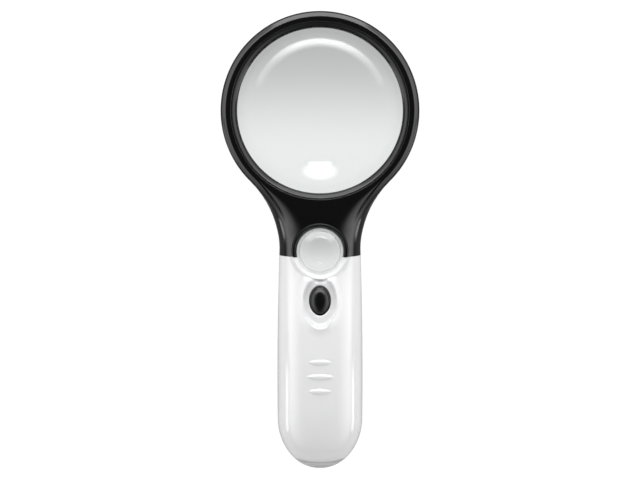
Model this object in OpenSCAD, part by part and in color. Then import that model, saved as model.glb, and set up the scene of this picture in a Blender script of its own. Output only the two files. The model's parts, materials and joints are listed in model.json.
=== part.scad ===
// Hand-held magnifier with two lenses, lights and a push switch.
// It lies on its back with the front face up and the head towards +Y.
// Sizes are in millimetres. A drop is a distance below the main lens axis, along the handle.

/* [Main lens] */
// Outer diameter of the main lens
lens_d = 75; // [70:0.5:80]
// Thickness of the main lens at its rim
lens_edge_t = 2.4; // [1.8:0.1:2.8]
// Radius of curvature of both faces of the main lens
lens_face_r = 140; // [135:1:200]
// Height of the middle plane of the main lens above the back
lens_z = 8; // [7.6:0.1:8.6]
// Gap between the main lens and the pieces that hold it
lens_fit = 0.15; // [0.1:0.05:0.3]
// Width of lens rim covered by the bezel and by the seat
lens_cover = 2.5; // [1.5:0.1:3.5]

/* [Head] */
// Width of the ring outside the lens
ring_wall = 4.5; // [3.8:0.1:6]
// Thickness of the ring from front to back
ring_t = 16; // [15.6:0.1:17]
// Width of the bevel round the ring, seen from the front
bevel_w = 2.5; // [1.5:0.1:3]
// Height of the bevel round the ring
bevel_h = 2; // [1.5:0.1:4]
// Wall of the neck shells
neck_wall = 2; // [1.6:0.1:2.2]
// Radius of the sweep from the ring into the neck
neck_sweep_r = 41.5; // [34:0.5:50]
// Width of the neck at its narrowest
neck_w = 34.3; // [33.5:0.1:35.5]
// How far the neck surface lies below the ring's front and back
neck_step = 0.1; // [0.05:0.05:0.3]

/* [Small lens] */
// Distance from the ring's lower edge to the small lens axis
loupe_gap = 17.6; // [17:0.1:20]
// Outer diameter of the small lens
loupe_d = 20.4; // [18:0.1:21]
// Thickness of the small lens at its rim
loupe_edge_t = 2; // [1.5:0.1:2.4]
// Radius of curvature of both faces of the small lens
loupe_face_r = 25; // [22:0.5:40]
// Width of lens rim covered by the collar's lip
loupe_cover = 0.35; // [0.3:0.05:0.8]
// Thickness of the collar's lip
collar_lip_t = 1.6; // [1.2:0.1:2]
// Wall of the collar round the small lens
collar_wall = 1.45; // [1.2:0.05:1.6]
// Height of the collar's rim above the neck at the lens axis
collar_rise = 0.8; // [0.4:0.1:1.2]
// Wall of the sleeve behind the small lens
sleeve_wall = 1; // [0.8:0.1:1.4]

/* [Seam] */
// Distance from the small lens axis to the seam between head and handle
seam_offset = 2.4; // [1.5:0.1:3.5]
// Lean of that seam, as drop per height
seam_lean = 0.11; // [0:0.01:0.15]
// Height of the parting between front and rear shells
seam_z = 7; // [6.8:0.1:7.4]
// Gap left in every shell seam
seam_gap = 0.15; // [0.1:0.05:0.25]

/* [Handle] */
// Greatest width of the handle
handle_w = 36; // [35.7:0.1:40]
// Height of the handle's crest above the back
handle_t = 23.3; // [22.5:0.1:26]
// Wall of the handle shells
shell_wall = 1.9; // [1.6:0.1:2]
// Length of the front shell past the battery bay
end_room = 13.1; // [12.6:0.1:16]
// Length over which the end of the handle is rounded
end_round = 18.5; // [17:0.5:20]
// Radius of the front shell's end edge, seen from the front
end_edge_r = 35; // [30:1:45]
// How far the cover's end shows past the front shell
nose = 2.6; // [2:0.1:3.2]
// Height of the back of the cover above the table
cover_lift = 0.25; // [0.15:0.05:0.4]

/* [Power button] */
// Distance from the small lens axis to the middle of the button
button_offset = 20.7; // [20.4:0.1:23]
// Width of the button's cap
button_w = 8.5; // [7.5:0.1:9]
// Length of the button's cap
button_l = 12; // [11:0.1:12.5]
// Height of the domed top
button_dome = 1.3; // [0.8:0.1:1.6]
// Travel of the button
button_travel = 1.5; // [1:0.1:1.7]
// Gap between the button and its hole
button_gap = 0.45; // [0.35:0.05:0.6]
// Width of the dish round the button
dish_w = 15.2; // [14:0.1:17]
// Length of the dish round the button
dish_l = 22; // [20:0.1:23]
// Depth of the dish
dish_depth = 1.2; // [0.8:0.05:1.3]

/* [Grip ridges] */
// Number of grip ridges
ridge_count = 3; // [1:2:5]
// Distance between ridges
ridge_pitch = 6.13; // [4:0.05:8]
// Length of the outer ridges
ridge_l = 9.1; // [7:0.1:12]
// Extra length of the middle ridge
ridge_extra = 2.5; // [0:0.1:4]
// Width of a ridge
ridge_w = 2.7; // [2:0.1:3.4]
// Height of a ridge above the handle
ridge_h = 0.7; // [0.4:0.05:1]

/* [Switch] */
// Side of the square switch body
switch_w = 8.5; // [8:0.1:9]
// Height of the switch body
switch_h = 8; // [7.6:0.1:8.4]
// Wall of the switch body's top
switch_top_t = 0.8; // [0.6:0.1:1]
// Diameter of the switch plunger
plunger_d = 3; // [2.6:0.1:3.4]
// How far the plunger stands out of the switch body
plunger_out = 2.2; // [2.1:0.1:2.6]
// Diameter of the wire of the switch spring
switch_spring_wire = 0.4; // [0.3:0.05:0.5]

/* [Lights] */
// Diameter of a light
led_d = 3; // [2.6:0.1:3.2]
// Length of a light from flange to tip
led_l = 5.3; // [5:0.1:5.6]
// Distance between lights
led_pitch = 8; // [6.4:0.1:8]
// Height of the lights' tips above the back
led_tip_z = 1.2; // [0.6:0.1:1.6]
// Wall of the sockets that hold the lights
led_socket_wall = 0.95; // [0.7:0.05:1]

/* [Cells] */
// Length of a cell with its nub
cell_l = 44.5; // [43.5:0.1:45]
// Gap between neighbouring cells
cell_gap = 0.2; // [0.2:0.05:0.3]
// Gap between the outer cells and the handle's wall
cell_side_gap = 0.45; // [0.45:0.05:0.6]
// Height of the cells above the cover's floor
cell_floor = 1.3; // [1.2:0.05:1.5]
// Length of a battery spring when it holds a cell
spring_l = 4.05; // [3.6:0.05:5]
// Diameter of the wire of a battery spring
spring_wire = 0.6; // [0.5:0.05:0.7]

/* [Inner pieces] */
// Thickness of the circuit boards
board_t = 1.2; // [1:0.1:1.4]
// Thickness of the sheet contacts
contact_t = 0.4; // [0.3:0.05:0.5]
// Thickness of the walls at the ends of the battery bay
partition_t = 1.5; // [1.2:0.1:1.6]
// Diameter of a wire with its jacket
wire_d = 1.3; // [1:0.1:1.4]
// Diameter of a screw's shank
screw_d = 2; // [1.8:0.1:2.2]
// Diameter of a screw's head
screw_head_d = 3.8; // [3.4:0.1:4]
// Height of a screw's head
screw_head_h = 1.4; // [1.2:0.1:1.6]
// Gap between stacked inner pieces
rest_gap = 0.05; // [0.05:0.01:0.1]
// Gap between the cover's hooks and the rails
slide_gap = 0.3; // [0.2:0.05:0.35]

/* [Hidden] */
$fn = 96;
ring_r = lens_d / 2 + ring_wall;
bore_r = lens_d / 2 + lens_fit;
seat_r = lens_d / 2 - lens_cover;
loupe_r = loupe_d / 2;
collar_bore_r = loupe_r + 0.1;
collar_r = collar_bore_r + collar_wall;
collar_clear_r = loupe_r - loupe_cover;

loupe_drop = ring_r + loupe_gap;
seam_drop = loupe_drop + seam_offset;
button_drop = loupe_drop + button_offset;
partition_drop = button_drop + switch_w / 2 + 0.25;
bay_start = partition_drop + partition_t;
bay_end = bay_start + 2 * contact_t + cell_l + spring_l + 0.1;
bay_mid = (bay_start + bay_end) / 2;
front_end = bay_end + end_room;
round_drop = front_end - end_round;
end_drop = front_end + nose;
panel_end = partition_drop + 0.1;
cover_start = panel_end + 0.25;
overall_l = ring_r + end_drop;
lens_y = overall_l / 2 - ring_r;

sweep_x = neck_w / 2 + neck_sweep_r;
sweep_drop = sqrt((ring_r + neck_sweep_r) ^ 2 - sweep_x ^ 2);
neck_start = ring_r * sweep_drop / (ring_r + neck_sweep_r);
end_angle = 86;
end_len = (end_drop - round_drop) / sin(end_angle);
nose_z = 3.4;
heel_drop = front_end - 9;
nose_min = 0.8;
front_n = 2.7;
rear_n = 4;

function smooth(t) = let(u = min(1, max(0, t))) u * u * (3 - 2 * u);
function sag(r, face_r) = face_r - sqrt(face_r ^ 2 - r ^ 2);
function lens_front(r) = lens_z + lens_edge_t / 2 + sag(lens_d / 2, lens_face_r) - sag(r, lens_face_r);
function lens_rear(r) = 2 * lens_z - lens_front(r);

// Outline of the neck and handle, as half a width at a drop
function neck_half(d) = sweep_x - sqrt(neck_sweep_r ^ 2 - (sweep_drop - d) ^ 2);
function side_half(d) = (handle_w - (handle_w - neck_w) * ((d - bay_mid) / (bay_mid - sweep_drop)) ^ 2) / 2;
function end_share(d) = d <= round_drop ? 1 : sqrt(max(0, 1 - ((d - round_drop) / end_len) ^ 2));
function half_w(d) = d < sweep_drop ? neck_half(d) : side_half(d) * end_share(d);
function edge_half(d) = let(e = max(0, front_end - d)) e > end_edge_r ? 100 : sqrt(2 * end_edge_r * e - e * e);
function front_half(d) = max(nose_min, min(half_w(d), edge_half(d)));

// Height of the front crest and of the back at a drop
function rise_z(d) = ring_t - neck_step + (handle_t - ring_t + neck_step) * smooth((d - ring_r) / (bay_mid - ring_r));
function fall(d) = pow(max(0, 1 - pow((d - bay_mid) / (front_end - bay_mid), 3.2)), 1 / 2.2);
function crest(d) = d < bay_mid ? rise_z(d) : seam_z + max(nose_min, (handle_t - seam_z) * fall(d));
function nose_share(d, from) = d <= from ? 1 : sqrt(max(0.02, 1 - ((d - from) / (end_drop - from)) ^ 2));
function back(d) = cover_lift + (nose_z - cover_lift) * (1 - nose_share(d, heel_drop));
function cover_top(d) = nose_z + (seam_z - seam_gap / 2 - nose_z) * nose_share(d, front_end);

// Exponent of the front section: fuller beside the ring than along the handle
function section_n(d) = front_n + 1.8 * (1 - smooth((d - neck_start) / 16));

// Height of the middle of the front wall over a point, and its half width at a height
function wall_z(x, d, wall) = let(n = section_n(d), w = front_half(d) - wall / 2, h = crest(d) - seam_z - wall / 2)
    seam_z + h * pow(max(0, 1 - pow(abs(x) / w, n)), 1 / n);
function wall_x(z, d, wall) = let(n = section_n(d), w = front_half(d) - wall / 2, h = crest(d) - seam_z - wall / 2)
    w * pow(max(0, 1 - pow(max(0, z - seam_z) / h, n)), 1 / n);

// Lean of the seam between head and handle, faded out away from it
seam_ref_z = crest(seam_drop);
function lean_at(d) = seam_lean * (1 - smooth((abs(d - seam_drop) - 1) / 12));
function lean_y(d, z) = lens_y - d + lean_at(d) * (seam_ref_z - z);

// Rings of points across the front and rear shells, inset by a wall
function arch(a, size, n) = size * sign(a) * pow(abs(a), 2 / n);
function front_ring(d, inset, count) =
    let(w = max(0.3, front_half(d) - inset), h = max(0.3, crest(d) - seam_z - seam_gap / 2 - inset), n = section_n(d))
    [for (j = [0 : count - 1])
        let(a = 180 * j / (count - 1), z = seam_z + seam_gap / 2 + arch(sin(a), h, n))
        [-arch(j * 2 == count - 1 ? 0 : cos(a), w, n), lean_y(d, z), z]];
function rear_ring(d, inset, count, top, bottom) =
    let(w = max(0.3, half_w(d) - inset), h = max(0.3, top - bottom - inset))
    [for (j = [0 : count - 1])
        let(a = 180 * j / (count - 1), z = top - arch(sin(a), h, rear_n))
        [arch(j * 2 == count - 1 ? 0 : cos(a), w, rear_n), lean_y(d, z), z]];

// Heights of the lens and switch stacks
collar_z = crest(loupe_drop) + collar_rise;
lip_z = collar_z - collar_lip_t;
loupe_top = lip_z - sag(loupe_r, loupe_face_r) + sag(collar_clear_r, loupe_face_r) - rest_gap;
loupe_bottom = loupe_top - loupe_edge_t;
sleeve_top = loupe_bottom - sag(loupe_r, loupe_face_r) + sag(loupe_r - sleeve_wall, loupe_face_r) - 0.1;
rear_lip_t = 1;
switch_board_z = shell_wall + 1.7;
switch_z = switch_board_z + board_t;
switch_top = switch_z + switch_h;
plunger_top = switch_top + plunger_out;
flange_w = button_w + 1.8;
flange_l = flange_w * button_l / button_w;
flange_top = crest(button_drop - flange_l / 2) - shell_wall - 0.45;
flange_t = 1.2;
cap_top = crest(button_drop) - dish_depth + 0.25;
cavity_z = switch_z + 2.2;
cavity_r = plunger_d / 2 + 1.1;

// Places of the bosses, lights and cells
screw_seat_z = 3;
handle_screw_x = 11;
handle_screw_drop = loupe_drop + 13.4;
head_screw_x = 13;
head_screw_drop = ring_r + 4;
ear_z = seam_z + 1;
ear_t = 2;
boss_r = screw_d / 2 + 1.5;
pillar_r = screw_head_d / 2 + 0.95;
led_r = led_d / 2;
socket_r = led_r + 0.1 + led_socket_wall;
led_ring_r = ring_r + socket_r + 0.4;
led_board_z = led_tip_z + led_l;
led_board_start = ring_r + 0.3;
led_board_end = led_board_start + 5.2;
led_board_half = led_pitch + 2;
cell_d = (handle_w - 2 * (shell_wall + cell_side_gap + cell_gap)) / 3;
cell_r = cell_d / 2;
cell_pitch = cell_d + cell_gap;
cell_z = cover_lift + shell_wall + cell_floor + cell_r;
plate_half = cell_r - 0.95;
plate_bottom = cell_z - plate_half;
plate_top = cell_z + plate_half - 1;
partition_bottom = plate_bottom - 0.3;
partition_top = plate_top + 0.4;
wire_z = cell_z + cell_r + 0.5 + wire_d / 2;
tab_z = wire_z + wire_d / 2 + 0.1;
upper_contact = bay_start + contact_t;
lower_contact = bay_end - contact_t;
rail_start = bay_end + partition_t + 0.9;
rail_end = rail_start + 3.3;
hook_room = 1.66;
hook_x = half_w(rail_end) - shell_wall - hook_room;
hook_t = 1.1;
rail_lip_x = hook_x - hook_t - slide_gap;
rail_web_x = rail_lip_x - 1.5;
rail_web_t = 1.2;
rail_bottom = 3.4;
rail_lip_top = rail_bottom + 0.9;

// Moves its children to a drop below the main lens axis
module drop(d, x = 0, z = 0) {
    translate([x, lens_y - d, z]) children();
}

// Box given by its limits across, along the drop and in height
module span(x0, x1, d0, d1, z0, z1) {
    translate([x0, lens_y - d1, z0]) cube([x1 - x0, d1 - d0, z1 - z0]);
}

// Open or closed shell between rings of outer points and fewer rings of inner points
module shell(outer, inner) {
    m = len(outer);
    k = len(inner);
    n = len(outer[0]);
    shut = k < m;
    points = concat([for (r = outer) each r], [for (r = inner) each r]);
    function o(i, j) = i * n + j;
    function q(i, j) = (m + i) * n + j;
    skin = [for (i = [0 : m - 2]) for (j = [0 : n - 2])
        each [[o(i, j), o(i, j + 1), o(i + 1, j)], [o(i, j + 1), o(i + 1, j + 1), o(i + 1, j)]]];
    lining = [for (i = [0 : k - 2]) for (j = [0 : n - 2])
        each [[q(i, j), q(i + 1, j), q(i, j + 1)], [q(i, j + 1), q(i + 1, j), q(i + 1, j + 1)]]];
    first = [for (j = [0 : n - 2])
        each [[o(0, j), q(0, j), o(0, j + 1)], [o(0, j + 1), q(0, j), q(0, j + 1)]]];
    rims = [for (i = [0 : k - 2])
        each [[o(i, 0), o(i + 1, 0), q(i, 0)], [o(i + 1, 0), q(i + 1, 0), q(i, 0)],
            [o(i, n - 1), q(i, n - 1), o(i + 1, n - 1)], [o(i + 1, n - 1), q(i, n - 1), q(i + 1, n - 1)]]];
    last = shut ? [] : [for (j = [0 : n - 2])
        each [[o(m - 1, j), o(m - 1, j + 1), q(k - 1, j)], [o(m - 1, j + 1), q(k - 1, j + 1), q(k - 1, j)]]];
    step = !shut ? [] : [[o(k - 1, 0), o(k, 0), q(k - 1, 0)], [q(k - 1, 0), o(k, 0), q(k - 1, n - 1)],
        [q(k - 1, n - 1), o(k, 0), o(k, n - 1)], [q(k - 1, n - 1), o(k, n - 1), o(k - 1, n - 1)]];
    floor = !shut || k > m - 2 ? [] : [for (i = [k : m - 2])
        each [[o(i, 0), o(i + 1, 0), o(i, n - 1)], [o(i + 1, 0), o(i + 1, n - 1), o(i, n - 1)]]];
    inner_end = !shut ? [] : [[for (j = [n - 1 : -1 : 0]) q(k - 1, j)]];
    outer_end = !shut ? [] : [[for (j = [0 : n - 1]) o(m - 1, j)]];
    polyhedron(points, concat(skin, lining, first, rims, last, step, floor, inner_end, outer_end));
}

// Everything on one side of the leaning seam
module seam_side(head) {
    drop(seam_drop, 0, seam_ref_z)
    rotate([atan(seam_lean), 0, 0])
    translate([-60, head ? seam_gap / 2 : -60 - seam_gap / 2, -60])
    cube([120, 60, 120]);
}

// Lens with two equal faces, its axis along Z
module biconvex(r, edge_t, face_r) {
    lift = face_r - sag(r, face_r) - edge_t / 2;
    intersection() {
        translate([0, 0, -lift]) sphere(face_r, $fn = 180);
        translate([0, 0, lift]) sphere(face_r, $fn = 180);
        cylinder(h = 4 * (edge_t + sag(r, face_r)), r = r, center = true);
    }
}

function normal(v) = v / norm(v);
function tangent(p, i) = normal(p[min(i + 1, len(p) - 1)] - p[max(i - 1, 0)]);

// Round tube along a path, its rings turned from one reference direction
module tube(path, r, ref, sides = 8) {
    m = len(path);
    points = [for (i = [0 : m - 1])
        let(t = tangent(path, i), u = normal(cross(t, ref)), v = cross(t, u))
        for (j = [0 : sides - 1]) path[i] + r * (cos(360 * j / sides) * u + sin(360 * j / sides) * v)];
    skin = [for (i = [0 : m - 2]) for (j = [0 : sides - 1])
        let(a = i * sides + j, b = i * sides + (j + 1) % sides)
        each [[a, a + sides, b], [b, a + sides, b + sides]]];
    first = [[for (j = [0 : sides - 1]) j]];
    last = [[for (j = [sides - 1 : -1 : 0]) (m - 1) * sides + j]];
    polyhedron(points, concat(skin, first, last));
}

// Points of a smooth curve through a list of places
function curve(p, steps) = concat([for (i = [0 : len(p) - 2]) for (s = [0 : steps - 1])
    let(a = p[max(i - 1, 0)], b = p[i], c = p[i + 1], e = p[min(i + 2, len(p) - 1)], t = s / steps)
    0.5 * (2 * b + (c - a) * t + (2 * a - 5 * b + 4 * c - e) * t ^ 2 + (3 * b - a - 3 * c + e) * t ^ 3)],
    [p[len(p) - 1]]);
function inner_places(p) = [for (i = [1 : len(p) - 2]) p[i]];
function led_through(p) = concat([p[0]], curve(inner_places(p), 3), [p[len(p) - 1]]);
function laid(route) = led_through([for (p = route) [p[0], lens_y - p[1], p[2]]]);

// Points of a coil along Z with straight ends, and the least gap between its turns
function coil(r0, r1, length, turns, wire, per_turn = 12) =
    let(steps = turns * per_turn, body = length - 2 * wire)
    concat([[r0, 0, 0]],
        [for (i = [0 : steps])
            let(t = i / steps, r = r0 + (r1 - r0) * t, a = 360 * turns * t)
            [r * cos(a), r * sin(a), wire + body * t]],
        [[r1 * cos(360 * turns), r1 * sin(360 * turns), length]]);
function coil_gap(p, wire, apart) =
    min([for (i = [1 : len(p) - 2 - apart]) for (j = [i + apart : len(p) - 2]) norm(p[i] - p[j])]) - wire;

module main_lens() {
    color([0.9, 0.95, 1, 0.35])
    drop(0, 0, lens_z) biconvex(lens_d / 2, lens_edge_t, lens_face_r);
}

module lens_bezel() {
    color([0.08, 0.08, 0.09])
    drop(0)
    rotate_extrude($fn = 180)
    polygon([
        [seat_r, lens_front(seat_r) + lens_fit],
        [bore_r - rest_gap, lens_front(lens_d / 2) + lens_fit],
        [bore_r - rest_gap, ring_t - 0.1],
        [bore_r - 0.3, ring_t - 0.1],
        [seat_r, ring_t - 0.1 - 0.8 * (bore_r - 0.3 - seat_r)]]);
}

module ring_front() {
    drop(0)
    rotate_extrude($fn = 180)
    polygon([
        [bore_r, seam_z + seam_gap / 2],
        [ring_r, seam_z + seam_gap / 2],
        [ring_r, ring_t - bevel_h],
        [ring_r - bevel_w, ring_t],
        [bore_r, ring_t]]);
}

module ring_rear() {
    drop(0)
    rotate_extrude($fn = 180)
    polygon([
        [seat_r, 2.6],
        [seat_r + 1.2, 0],
        [ring_r - bevel_w, 0],
        [ring_r, bevel_h + 1.5],
        [ring_r, seam_z - seam_gap / 2],
        [bore_r, seam_z - seam_gap / 2],
        [bore_r, lens_rear(lens_d / 2) - lens_fit],
        [seat_r, lens_rear(seat_r) - lens_fit]]);
}

// Collar round the small lens, cut out of both front shells at the seam
module collar() {
    drop(loupe_drop)
    rotate_extrude()
    polygon([
        [collar_clear_r, lip_z + 0.5],
        [collar_clear_r, lip_z],
        [collar_bore_r, lip_z],
        [collar_bore_r, loupe_bottom - 0.9],
        [collar_r, loupe_bottom - 0.9],
        [collar_r, collar_z - 0.35],
        [collar_r - 0.35, collar_z],
        [collar_clear_r + 0.75, collar_z]]);
}

module collar_cut() {
    drop(loupe_drop, 0, loupe_bottom - 0.9) cylinder(h = 20, r = collar_r - 0.05);
}

// Seat of the sleeve, cut out of both rear shells at the seam
module rear_seat() {
    drop(loupe_drop, 0, 0.3) cylinder(h = 3.7, r = collar_r);
}

module rear_seat_cut() {
    drop(loupe_drop, 0, -1) cylinder(h = 8, r = loupe_r - sleeve_wall + 0.1);
    drop(loupe_drop, 0, rear_lip_t) cylinder(h = 8, r = collar_bore_r);
}

neck_stations = [for (i = [0 : 11]) neck_start + (seam_drop - seam_gap / 2 - neck_start) * i / 11];

module head_front() {
    color([0.03, 0.03, 0.035])
    difference() {
        union() {
            ring_front();
            difference() {
                shell([for (d = neck_stations) front_ring(d, 0, 21)],
                    [for (d = neck_stations) front_ring(d, neck_wall, 21)]);
                drop(0) cylinder(h = 40, r = ring_r - 3, $fn = 180);
                collar_cut();
            }
            intersection() {
                collar();
                seam_side(true);
            }
            for (s = [-1, 1]) {
                drop(head_screw_drop, s * head_screw_x, seam_z + seam_gap / 2)
                cylinder(h = wall_z(head_screw_x + boss_r, head_screw_drop, neck_wall) - seam_z, r = boss_r);
                mirror([s < 0 ? 1 : 0, 0, 0]) head_arm();
            }
        }
        for (s = [-1, 1])
            drop(head_screw_drop, s * head_screw_x, 0) cylinder(h = screw_seat_z + 10, r = screw_d / 2 + rest_gap);
    }
}

// Arm that reaches from the neck into the handle, with an ear for a handle screw
module head_arm() {
    span(12.2, half_w(loupe_drop - 4) - 1, loupe_drop - 7.5, loupe_drop + 0.7, ear_z - 0.6, ear_z + ear_t);
    difference() {
        union() {
            span(12.2, 14.4, loupe_drop - 1, handle_screw_drop + 1, ear_z - 0.6, ear_z + ear_t);
            drop(handle_screw_drop, handle_screw_x, ear_z) cylinder(h = ear_t, r = boss_r + 0.2);
        }
        drop(handle_screw_drop, handle_screw_x, 0) cylinder(h = 20, r = screw_d / 2 + 0.2);
        drop(handle_screw_drop, handle_screw_x, 0) cylinder(h = ear_z, r = pillar_r + 0.2);
    }
}

module head_rear() {
    color([0.03, 0.03, 0.035])
    difference() {
        union() {
            ring_rear();
            difference() {
                union() {
                    shell([for (d = neck_stations) rear_ring(d, 0, 17, seam_z - seam_gap / 2, neck_step)],
                        [for (d = neck_stations) rear_ring(d, neck_wall, 17, seam_z - seam_gap / 2, neck_step)]);
                    intersection() {
                        rear_seat();
                        seam_side(true);
                    }
                }
                drop(0) translate([0, 0, -10]) cylinder(h = 40, r = ring_r - 3, $fn = 180);
                rear_seat_cut();
            }
            for (s = [-1, 1])
                drop(head_screw_drop, s * head_screw_x, 1.2) cylinder(h = seam_z - seam_gap - 1.2, r = pillar_r);
            for (s = [-1 : 1])
                drop(led_drop(s), s * led_pitch, 1) cylinder(h = led_board_z - 2.05, r = socket_r);
        }
        for (s = [-1, 1]) {
            drop(head_screw_drop, s * head_screw_x, -1) cylinder(h = screw_seat_z + 1, r = screw_head_d / 2 + 0.2);
            drop(head_screw_drop, s * head_screw_x, 0) cylinder(h = 20, r = screw_d / 2 + 0.2);
        }
        for (s = [-1 : 1]) {
            drop(led_drop(s), s * led_pitch, -1) cylinder(h = 12, r = led_r + 0.1);
            drop(led_drop(s), s * led_pitch, -0.01) cylinder(h = 0.9, r1 = led_r + 0.9, r2 = led_r);
        }
    }
}

function led_drop(s) = sqrt(led_ring_r ^ 2 - (s * led_pitch) ^ 2);

module small_lens() {
    color([0.9, 0.95, 1, 0.35])
    drop(loupe_drop, 0, (loupe_top + loupe_bottom) / 2)
    biconvex(loupe_r, loupe_edge_t, loupe_face_r);
}

module loupe_sleeve() {
    color([0.9, 0.9, 0.9])
    drop(loupe_drop, 0, rear_lip_t + rest_gap)
    difference() {
        cylinder(h = sleeve_top - rear_lip_t - rest_gap, r = loupe_r);
        translate([0, 0, -1]) cylinder(h = 30, r = loupe_r - sleeve_wall);
    }
}

module light_board() {
    color([0.1, 0.35, 0.2])
    span(-led_board_half, led_board_half, led_board_start, led_board_end,
        led_board_z + rest_gap, led_board_z + rest_gap + board_t);
}

module led(s) {
    color([0.92, 0.95, 1, 0.5])
    drop(led_drop(s), s * led_pitch, led_tip_z)
    rotate_extrude($fn = 48)
    polygon(concat(
        [for (a = [0 : 10 : 90]) [led_r * sin(a), led_r * (1 - cos(a))]],
        [[led_r, led_l - 0.95], [led_r + 0.4, led_l - 0.95], [led_r + 0.4, led_l], [0, led_l]]));
}

module light_left() {
    led(-1);
}

module light_middle() {
    led(0);
}

module light_right() {
    led(1);
}

module light_resistor() {
    color([0.75, 0.65, 0.5])
    drop((led_board_start + led_board_end) / 2, -3, led_board_z + board_t + 2 * rest_gap + 0.85)
    rotate([0, 90, 0])
    rotate_extrude($fn = 32)
    polygon([[0, 0], [0.85, 0], [0.85, 1.2], [0.65, 1.6], [0.65, 4.4], [0.85, 4.8], [0.85, 6], [0, 6]]);
}

front_stations = concat(
    [for (i = [0 : 13]) seam_drop + seam_gap / 2 + (round_drop - seam_drop - seam_gap / 2) * i / 14],
    [for (i = [0 : 9]) round_drop + (front_end - shell_wall - round_drop) * sin(9 * i)],
    [front_end - shell_wall, front_end - 1, front_end - 0.4, front_end]);

module oval(w, l, h) {
    scale([1, l / w, 1]) cylinder(h = h, r = w / 2);
}

// Wall across the handle at the end of the battery bay
module partition(d) {
    zs = [for (i = [0 : 4]) seam_z + (partition_top - seam_z) * i / 4];
    half = [for (z = zs) wall_x(z, d + partition_t, shell_wall)];
    drop(d)
    rotate([90, 0, 0])
    linear_extrude(partition_t)
    polygon(concat(
        [for (i = [0 : 4]) [half[i], zs[i] + (i == 0 ? seam_gap / 2 : 0)]],
        [for (i = [4 : -1 : 0]) [-half[i], zs[i] + (i == 0 ? seam_gap / 2 : 0)]]));
    span(-cell_pitch - 2.5, cell_pitch + 2.5, d, d + partition_t, partition_bottom, seam_z + 1);
}

// Rail inside the end of the handle that carries a hook of the cover
module rail() {
    mid = (rail_start + rail_end) / 2;
    span(rail_web_x - rail_web_t, rail_web_x, rail_start, rail_end, rail_bottom,
        wall_z(rail_web_x - rail_web_t / 2, mid, shell_wall) + 0.1);
    span(rail_web_x - 0.2, rail_lip_x, rail_start, rail_end, rail_bottom, rail_lip_top);
}

module dish_cut() {
    depth_r = 4;
    k = 1 / sqrt(1 - ((depth_r - dish_depth) / depth_r) ^ 2);
    drop(button_drop + 1.7, 0, crest(button_drop + 1.7) + depth_r - dish_depth)
    scale([k * dish_w / 2, k * dish_l / 2, depth_r])
    sphere(1);
}

module ridges() {
    for (i = [0 : ridge_count - 1]) {
        d = bay_mid + 1.35 + (i - (ridge_count - 1) / 2) * ridge_pitch;
        l = ridge_l + (i * 2 == ridge_count - 1 ? ridge_extra : 0);
        drop(d, 0, crest(d))
        scale([l / 2, ridge_w / 2, ridge_h])
        sphere(1, $fn = 48);
    }
}

module handle_front() {
    k = len(front_stations) - 3;
    color([0.93, 0.93, 0.92])
    difference() {
        union() {
            difference() {
                union() {
                    shell([for (d = front_stations) front_ring(d, 0, 23)],
                        [for (i = [0 : k - 1]) front_ring(front_stations[i], shell_wall, 23)]);
                    ridges();
                }
                dish_cut();
                collar_cut();
            }
            intersection() {
                collar();
                seam_side(false);
            }
            partition(partition_drop);
            partition(bay_end);
            for (s = [-1, 1]) {
                drop(handle_screw_drop, s * handle_screw_x, ear_z + ear_t + rest_gap)
                cylinder(h = wall_z(handle_screw_x + boss_r / 2, handle_screw_drop, shell_wall) - ear_z - ear_t, r = boss_r);
                mirror([s < 0 ? 1 : 0, 0, 0]) rail();
            }
        }
        drop(button_drop, 0, crest(button_drop) - 6) oval(button_w + 2 * button_gap, button_l + 2 * button_gap, 10);
        for (s = [-1, 1])
            drop(handle_screw_drop, s * handle_screw_x, 0) cylinder(h = screw_seat_z + 12, r = screw_d / 2 + rest_gap);
    }
}

panel_stations = [for (i = [0 : 7]) seam_drop + seam_gap / 2 + (panel_end - seam_drop - seam_gap / 2) * i / 7];

module handle_rear() {
    color([0.93, 0.93, 0.92])
    difference() {
        union() {
            shell([for (d = panel_stations) rear_ring(d, 0, 17, seam_z - seam_gap / 2, 0)],
                [for (d = panel_stations) rear_ring(d, shell_wall, 17, seam_z - seam_gap / 2, 0)]);
            intersection() {
                rear_seat();
                seam_side(false);
            }
            for (s = [-1, 1]) {
                drop(handle_screw_drop, s * handle_screw_x, 1.2) cylinder(h = ear_z - rest_gap - 1.2, r = pillar_r);
                drop(button_drop - 4.8, s * 4.2, 1.2) cylinder(h = switch_board_z - rest_gap - 1.2, r = 1.2);
                drop(button_drop - 0.3, s * 4.2, 1.2) cylinder(h = switch_board_z - rest_gap - 1.2, r = 1.2);
            }
        }
        rear_seat_cut();
        for (s = [-1, 1]) {
            drop(handle_screw_drop, s * handle_screw_x, -1) cylinder(h = screw_seat_z + 1, r = screw_head_d / 2 + 0.2);
            drop(handle_screw_drop, s * handle_screw_x, 0) cylinder(h = 20, r = screw_d / 2 + 0.2);
        }
    }
}

cover_stations = concat(
    [for (i = [0 : 7]) cover_start + (round_drop - cover_start) * i / 8],
    [for (i = [0 : 7]) round_drop + (front_end - 1.7 - round_drop) * sin(90 * i / 8)],
    [front_end - 1.7, front_end, front_end + nose * 0.4, front_end + nose * 0.7, front_end + nose * 0.9, end_drop]);

// Hook of the cover that slides over a rail
module hook() {
    span(rail_web_x + slide_gap + 0.1, hook_x, rail_start, rail_end, rail_lip_top + slide_gap, rail_lip_top + 1.2);
    span(hook_x - hook_t, hook_x, rail_start, rail_end, cover_lift + 1.2, rail_lip_top + 1.2);
}

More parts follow.
